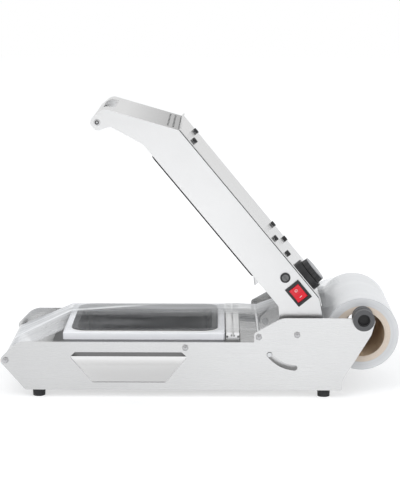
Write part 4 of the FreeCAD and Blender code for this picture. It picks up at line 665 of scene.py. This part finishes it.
def web_half(name, path, half_wide):
    """One half of the film web, rippled lengthwise."""
    line = along_path(path, WEB_STEP)
    tray_low, tray_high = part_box("food_tray")
    points, faces = [], []
    for along, level in line:
        loose = max(tray_low.x - along, along - tray_high.x, 0.0)
        depth = TAUT_DEPTH + LOOSE_DEPTH * min(1.0, loose / LOOSE_REACH)
        for j in range(WEB_ACROSS + 1):
            side = (2 * j / WEB_ACROSS - 1) * half_wide
            ridge = noise.noise(Vector((side * 95, along * 9 + side * 22, 3.1)))
            fine = noise.noise(Vector((side * 260, along * 14 - side * 40, 8.7)))
            lift = abs(ridge) * depth + abs(fine) * depth * FINE_SHARE
            points.append((along, side, level + lift))
    row = WEB_ACROSS + 1
    for i in range(len(line) - 1):
        for j in range(WEB_ACROSS):
            corner = i * row + j
            faces.append((corner, corner + 1, corner + row + 1, corner + row))
    length = sum((b - a).length for a, b in zip(line, line[1:]))
    made = piece(name, mesh_of(name, points, faces), "clear_film", None)
    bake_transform(made)
    return made, length


def film_web():
    """The drawn film in two halves, which meet in the middle of the tray."""
    path = web_path()
    tray_low, tray_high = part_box("food_tray")
    half_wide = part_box("film_web")[1].y
    centre = (tray_low.x + tray_high.x) / 2
    level = path[3].y
    rear_path = path[:4] + [Vector((centre, level))]
    front_path = [Vector((centre, level))] + path[4:]
    rear, rear_long = web_half("film_rear", rear_path, half_wide)
    front, front_long = web_half("film_front", front_path, half_wide)
    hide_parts("film_web")


# Fasteners

NUT_FLATS = 8.6 * MM
NUT_HIGH = 5.0 * MM
NUT_DOME_SIDES = 28


def acorn(centre, outward, flats, high):
    """A closed nut: a chamfered hexagon and a dome on it."""
    half = flats / 2
    profile = [
        (0, half * 0.98), (0.2 * MM, half * 1.02),
        (high * 0.42, half * 1.02), (high * 0.50, half * 0.94),
    ]
    hexagon = turned(centre, outward, profile, 6, lambda angle, height: 1 / math.cos(math.pi / 6))
    radius = half * 0.92
    dome = [(high * 0.45, radius)]
    for k in range(7):
        angle = math.radians(90 * k / 6.5)
        dome.append((high * 0.5 + high * 0.5 * math.sin(angle), radius * math.cos(angle)))
    return [hexagon, turned(centre, outward, dome, NUT_DOME_SIDES)]


def rod_nuts():
    """Dome nuts on the outside of the side plates."""
    face = -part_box("side_plate_right")[0].y
    parts = []
    for node in ("nose_rod", "spring_posts", "film_guide_rod", "pivot_shaft"):
        axis = middle(node)
        for side in SIDES:
            parts += acorn(Vector((axis.x, face * side, axis.z)), (0, side, 0), NUT_FLATS, NUT_HIGH)
    mesh = joined("acorn_nuts", parts)
    made = piece("acorn_nuts", mesh, "nut_steel", "base", smooth=False)
    smooth_curved(made)
    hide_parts("dome_nuts")


HEAD_SIDES = 48
SOCKET_CORNERS = 6
SOCKET_FLOOR = 0.25             # the socket's floor, as a share of the head's height
DOME_DEGREES = (20, 34, 48, 62, 76)     # where the dome's rings lie, from its rim up


def button_head(centre, outward, radius, high, socket):
    """A low domed screw head with a hexagonal socket."""
    outward = Vector(outward)
    side = outward.orthogonal().normalized()
    other = outward.cross(side)

    def loop(height, reach, corners=0):
        ring = []
        for i in range(HEAD_SIDES):
            angle = 2 * math.pi * i / HEAD_SIDES
            length = reach
            if corners:
                sector = 2 * math.pi / corners
                length = reach * math.cos(sector / 2) / math.cos(angle % sector - sector / 2)
            out = side * math.cos(angle) + other * math.sin(angle)
            ring.append(centre + outward * height + out * length)
        return ring

    rings = [loop(0.0, radius)]
    for degrees in DOME_DEGREES:
        angle = math.radians(degrees)
        rings.append(loop(high * math.sin(angle), radius * (0.35 + 0.65 * math.cos(angle) ** 0.6)))
    rings.append(loop(high, socket * 1.15))
    rings.append(loop(high, socket, SOCKET_CORNERS))
    rings.append(loop(high * SOCKET_FLOOR, socket * 0.97, SOCKET_CORNERS))
    return rings_to_mesh(rings)


def handle_screws():
    """Button heads on both ends of the handle bar."""
    low, high = local_box("handle_screws")
    centre = (low + high) / 2
    wall = abs(local_box("arm_wall_right")[0].y)
    head = abs(low.y) - wall
    parts = []
    for side in SIDES:
        seat = arm_point(centre.x, wall * side, centre.z)
        parts.append(button_head(seat, (0, side, 0), (high.x - low.x) / 2, head, SOCKET_REACH))
    mesh = joined("button_screws", parts)
    made = piece("button_screws", mesh, "socket_steel", "arm", smooth=False)
    smooth_curved(made)
    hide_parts("handle_screws")


def smooth_curved(made, angle=35.0):
    """Smooth shading that keeps edges sharper than the angle."""
    mesh = made.data
    mesh.polygons.foreach_set("use_smooth", [True] * len(mesh.polygons))
    form = bmesh.new()
    form.from_mesh(mesh)
    for edge in form.edges:
        if len(edge.link_faces) == 2:
            edge.smooth = edge.calc_face_angle(0.0) < math.radians(angle)
    form.to_mesh(mesh)
    form.free()


# Knob

KNOB_LOBES = 14
SKIRT_HIGH = 1.6 * MM
SKIRT_LOBE_DEPTH = 0.015        # in radii
GRIP_LOBE_DEPTH = 0.05
CAP_HIGH = 1.6 * MM
CAP_SIDES = 64
POINTER_WIDE = 2.0 * MM
POINTER_FROM = 0.30             # in radii from the knob's axis
POINTER_TO = 0.84
POINTER_THICK = 0.2 * MM


def control_knob():
    """A lobed grip on a plainer skirt, with a pale cap and a pointer bar."""
    low, high = local_box("control_knob")
    centre = arm_point((low.x + high.x) / 2, (low.y + high.y) / 2, 0)
    turn = ARM.to_3x3()
    up = (turn @ Vector((0, 0, 1))).normalized()
    radius = (high.x - low.x) / 2
    brow = high.z - CAP_HIGH

    def lobes(angle, height):
        wave = abs(math.sin(angle * KNOB_LOBES / 2))
        depth = GRIP_LOBE_DEPTH if height > low.z + SKIRT_HIGH else SKIRT_LOBE_DEPTH
        return 1 - depth * (1 - wave ** 0.6)

    profile = [
        (low.z, radius * 0.97), (low.z + 0.5 * MM, radius), (low.z + 1.5 * MM, radius),
        (low.z + 1.9 * MM, radius * 0.985), (brow - 1.2 * MM, radius * 0.965),
        (brow - 0.4 * MM, radius * 0.95), (brow, radius * 0.92),
    ]
    body = turned(centre, up, profile, KNOB_LOBES * 12, lobes)
    grip = piece("knob_grip", joined("knob_grip", [body]), "black_plastic", "knob", smooth=False)
    smooth_curved(grip, 30.0)
    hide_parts("control_knob")
    cap_profile = [
        (brow - 0.2 * MM, radius * 0.955), (high.z - 0.65 * MM, radius * 0.955),
        (high.z - 0.25 * MM, radius * 0.94), (high.z - 0.15 * MM, radius * 0.91),
    ]
    cap_mesh = joined("knob_cap", [turned(centre, up, cap_profile, CAP_SIDES)])
    cap = piece("knob_cap", cap_mesh, "cap_grey", "knob", smooth=False)
    smooth_curved(cap)
    outward = (turn @ Vector((1, 0, 0))).normalized()
    across = up.cross(outward)
    near, far, half = radius * POINTER_FROM, radius * POINTER_TO, POINTER_WIDE / 2
    bar = [(near, -half), (far, -half), (far, half), (near, half)]
    loops = []
    for lift in (-POINTER_THICK, 0.0):
        loops.append([centre + outward * a + across * b + up * (high.z + lift) for a, b in bar])
    pointer_mesh = joined("knob_pointer", [rings_to_mesh(loops)])
    piece("knob_pointer", pointer_mesh, "mark_white", "knob", smooth=False)


# Rocker marks

MARK_THICK = 0.25 * MM
MARK_SUNK = 0.05 * MM
MARK_APART = 5.6 * MM           # from the rocker's middle to each mark
MARK_POINTS = 28
RING_OUTER = (1.9 * MM, 2.4 * MM)       # half widths along and up
RING_INNER = (1.25 * MM, 1.75 * MM)
BAR_HALF = (0.4 * MM, 2.3 * MM)
BESIDE_ARM = -200 * MM          # across, well outside the arm's near wall


def oval(half):
    """Points of an oval with half widths along and up."""
    turns = [2 * math.pi * i / MARK_POINTS for i in range(MARK_POINTS)]
    return [(math.cos(a) * half[0], math.sin(a) * half[1]) for a in turns]


def laid(surface, along, level, outline, lift):
    """An outline of (along, up) pairs laid on the near face of an arm piece and lifted off it."""
    ring = []
    for a, b in outline:
        start = arm_point(along + a, BESIDE_ARM, level + b)
        point, normal = surface.ray_cast(start, Vector((0, 1, 0)))[:2]
        ring.append(point + normal * lift)
    return ring


def rocker_marks():
    """A ring on one face of the rocker and a bar on the other."""
    low, high = local_box("power_rocker")
    centre = (low.x + high.x) / 2
    level = (low.z + high.z) / 2
    form = bmesh.new()
    form.from_mesh(nodes["power_rocker"].data)
    surface = BVHTree.FromBMesh(form)
    form.free()
    bar = [(a * BAR_HALF[0], b * BAR_HALF[1]) for a, b in ((-1, -1), (1, -1), (1, 1), (-1, 1))]
    lifts = (-MARK_SUNK, MARK_THICK)
    ring = []
    for loop in (oval(RING_OUTER), oval(RING_INNER)):
        for lift in lifts:
            ring.append(laid(surface, centre - MARK_APART, level, loop, lift))
    band = [ring[0], ring[1], ring[3], ring[2], ring[0]]
    solid = [laid(surface, centre + MARK_APART, level, bar, lift) for lift in lifts]
    mesh = joined("rocker_marks", [rings_to_mesh(band, closed_ends=False), rings_to_mesh(solid)])
    piece("rocker_marks", mesh, "mark_white", "rocker", smooth=False)


# Stage

SKY = (0.93, 0.96, 1.0, 1.0)
SKY_STRENGTH = 0.62
FLAG_TOWARDS = Vector((0.0, -0.93, 0.37))
FLAG_RIM = 0.80                 # cosine of the angle from the card's middle to its rim
FLAG_CORE = 0.96                # and to its full shade
FLAG_SHADE = 0.65
FLOOR_SIZE = 14.0
FLOOR_COLOUR = (0.80, 0.80, 0.80, 1.0)  # what it gives back to the object
FLOOR_SHOWN = (0.52, 0.52, 0.52, 1.0)   # what the camera sees, with a glow added to it
FLOOR_NEAR, FLOOR_FAR = 0.4, 2.0        # metres from the object's middle
GLOW_NEAR, GLOW_FAR = 0.56, 0.70
LAMP_AIM = Vector((0, 0, 0.15))
LAMPS = (                       # name, place, width in metres, watts
    ("key", (-0.9, -1.5, 2.0), 1.6, 26.0),
    ("fill", (1.6, -1.2, 1.3), 1.8, 13.0),
    ("back", (0.2, 1.6, 1.8), 1.6, 8.0),
)


def stage():
    """White floor and world, soft lamps."""
    world = bpy.data.worlds.new("studio")
    bpy.context.scene.world = world
    world.use_nodes = True
    tree = world.node_tree
    tree.nodes.clear()
    soft = tree.nodes.new("ShaderNodeBackground")
    soft.inputs["Color"].default_value = SKY
    soft.inputs["Strength"].default_value = SKY_STRENGTH
    white = tree.nodes.new("ShaderNodeBackground")
    white.inputs["Color"].default_value = (1.0, 1.0, 1.0, 1.0)
    tree.links.new(dark_flag(tree), white.inputs["Strength"])
    mixed = tree.nodes.new("ShaderNodeMixShader")
    output = tree.nodes.new("ShaderNodeOutputWorld")
    tree.links.new(direct_ray(tree), mixed.inputs[0])
    tree.links.new(soft.outputs[0], mixed.inputs[1])
    tree.links.new(white.outputs[0], mixed.inputs[2])
    tree.links.new(mixed.outputs[0], output.inputs["Surface"])

    bpy.ops.mesh.primitive_plane_add(size=FLOOR_SIZE)
    floor = bpy.context.object
    floor.name = "floor"
    floor.data.materials.append(floor_finish())

    for name, where, size, power in LAMPS:
        lamp(name, where, size, power)


def dark_flag(tree):
    """The backdrop's strength: 1, apart from a soft darker card that only glossy surfaces show."""
    towards = tree.nodes.new("ShaderNodeTexCoord").outputs["Generated"]
    near = tree.nodes.new("ShaderNodeVectorMath")
    near.operation = "DOT_PRODUCT"
    tree.links.new(towards, near.inputs[0])
    near.inputs[1].default_value = FLAG_TOWARDS.normalized()
    card = tree.nodes.new("ShaderNodeMapRange")
    card.interpolation_type = "SMOOTHSTEP"
    set_range(card, FLAG_RIM, FLAG_CORE, 1.0, FLAG_SHADE)
    tree.links.new(near.outputs["Value"], card.inputs["Value"])
    chosen = tree.nodes.new("ShaderNodeMix")
    tree.links.new(tree.nodes.new("ShaderNodeLightPath").outputs["Is Glossy Ray"], chosen.inputs[0])
    chosen.inputs[2].default_value = 1.0
    tree.links.new(card.outputs["Result"], chosen.inputs[3])
    return chosen.outputs[0]


def direct_ray(tree):
    """1 for rays that see the backdrop straight, in gloss or through film."""
    path = tree.nodes.new("ShaderNodeLightPath")
    total = path.outputs["Is Camera Ray"]
    for name in ("Is Glossy Ray", "Is Transmission Ray"):
        most = tree.nodes.new("ShaderNodeMath")
        most.operation = "MAXIMUM"
        tree.links.new(total, most.inputs[0])
        tree.links.new(path.outputs[name], most.inputs[1])
        total = most.outputs[0]
    return total


def floor_finish():
    """Matt white that shows the shadow and is plain white elsewhere."""
    material = bpy.data.materials.new("floor")
    material.use_nodes = True
    tree = material.node_tree
    tree.nodes.clear()
    plain = tree.nodes.new("ShaderNodeBsdfDiffuse")
    plain.inputs["Color"].default_value = FLOOR_COLOUR
    shown = tree.nodes.new("ShaderNodeBsdfDiffuse")
    shown.inputs["Color"].default_value = FLOOR_SHOWN
    glow = tree.nodes.new("ShaderNodeEmission")
    distance = tree.nodes.new("ShaderNodeVectorMath")
    distance.operation = "LENGTH"
    tree.links.new(tree.nodes.new("ShaderNodeTexCoord").outputs["Object"], distance.inputs[0])
    strength = tree.nodes.new("ShaderNodeMapRange")
    set_range(strength, FLOOR_NEAR, FLOOR_FAR, GLOW_NEAR, GLOW_FAR)
    tree.links.new(distance.outputs["Value"], strength.inputs["Value"])
    tree.links.new(strength.outputs["Result"], glow.inputs["Strength"])
    added = tree.nodes.new("ShaderNodeAddShader")
    mixed = tree.nodes.new("ShaderNodeMixShader")
    output = tree.nodes.new("ShaderNodeOutputMaterial")
    tree.links.new(shown.outputs[0], added.inputs[0])
    tree.links.new(glow.outputs[0], added.inputs[1])
    tree.links.new(direct_ray(tree), mixed.inputs[0])
    tree.links.new(plain.outputs[0], mixed.inputs[1])
    tree.links.new(added.outputs[0], mixed.inputs[2])
    tree.links.new(mixed.outputs[0], output.inputs["Surface"])
    return material


def lamp(name, where, size, power):
    """A soft round lamp aimed at the object, which polished surfaces don't mirror."""
    light = bpy.data.lights.new(name, "AREA")
    light.shape = "DISK"
    light.size = size
    light.energy = power
    made = bpy.data.objects.new(name, light)
    made.location = where
    made.visible_glossy = False
    made.rotation_mode = "QUATERNION"
    made.rotation_quaternion = (LAMP_AIM - Vector(where)).to_track_quat("-Z", "Y")
    bpy.context.scene.collection.objects.link(made)


# Camera, worked out from the photograph's vanishing points

FRAME_HIGH = 500.0              # these four in pixels of the photograph
FOCAL = 1550.0
HORIZON_UP = 308.0
VANISH_ASIDE = 18.0
PITCH = math.atan(HORIZON_UP / FOCAL)
YAW = math.atan(VANISH_ASIDE / FOCAL)
CAMERA_AT = Vector((27.0, -2404.6, 687.0)) * MM
SENSOR = 36.0
CLIP_NEAR, CLIP_FAR = 0.05, 60.0


def camera():
    """The photograph's view: the near side, from a little above."""
    data = bpy.data.cameras.new("camera")
    data.sensor_fit = "VERTICAL"
    data.sensor_height = SENSOR
    data.sensor_width = SENSOR
    data.lens = SENSOR * FOCAL / FRAME_HIGH
    data.clip_start = CLIP_NEAR
    data.clip_end = CLIP_FAR
    made = bpy.data.objects.new("camera", data)
    made.location = CAMERA_AT
    level = math.cos(PITCH)
    forward = Vector((-math.sin(YAW) * level, math.cos(YAW) * level, -math.sin(PITCH)))
    made.rotation_mode = "QUATERNION"
    made.rotation_quaternion = forward.to_track_quat("-Z", "Y")
    bpy.context.scene.collection.objects.link(made)
    bpy.context.scene.camera = made


stage()
camera()
dress_nodes()
counter_springs()
suspension_springs()
film_web()
rod_nuts()
handle_screws()
control_knob()
rocker_marks()

bpy.context.scene.view_settings.view_transform = "Standard"
bpy.context.view_layer.update()
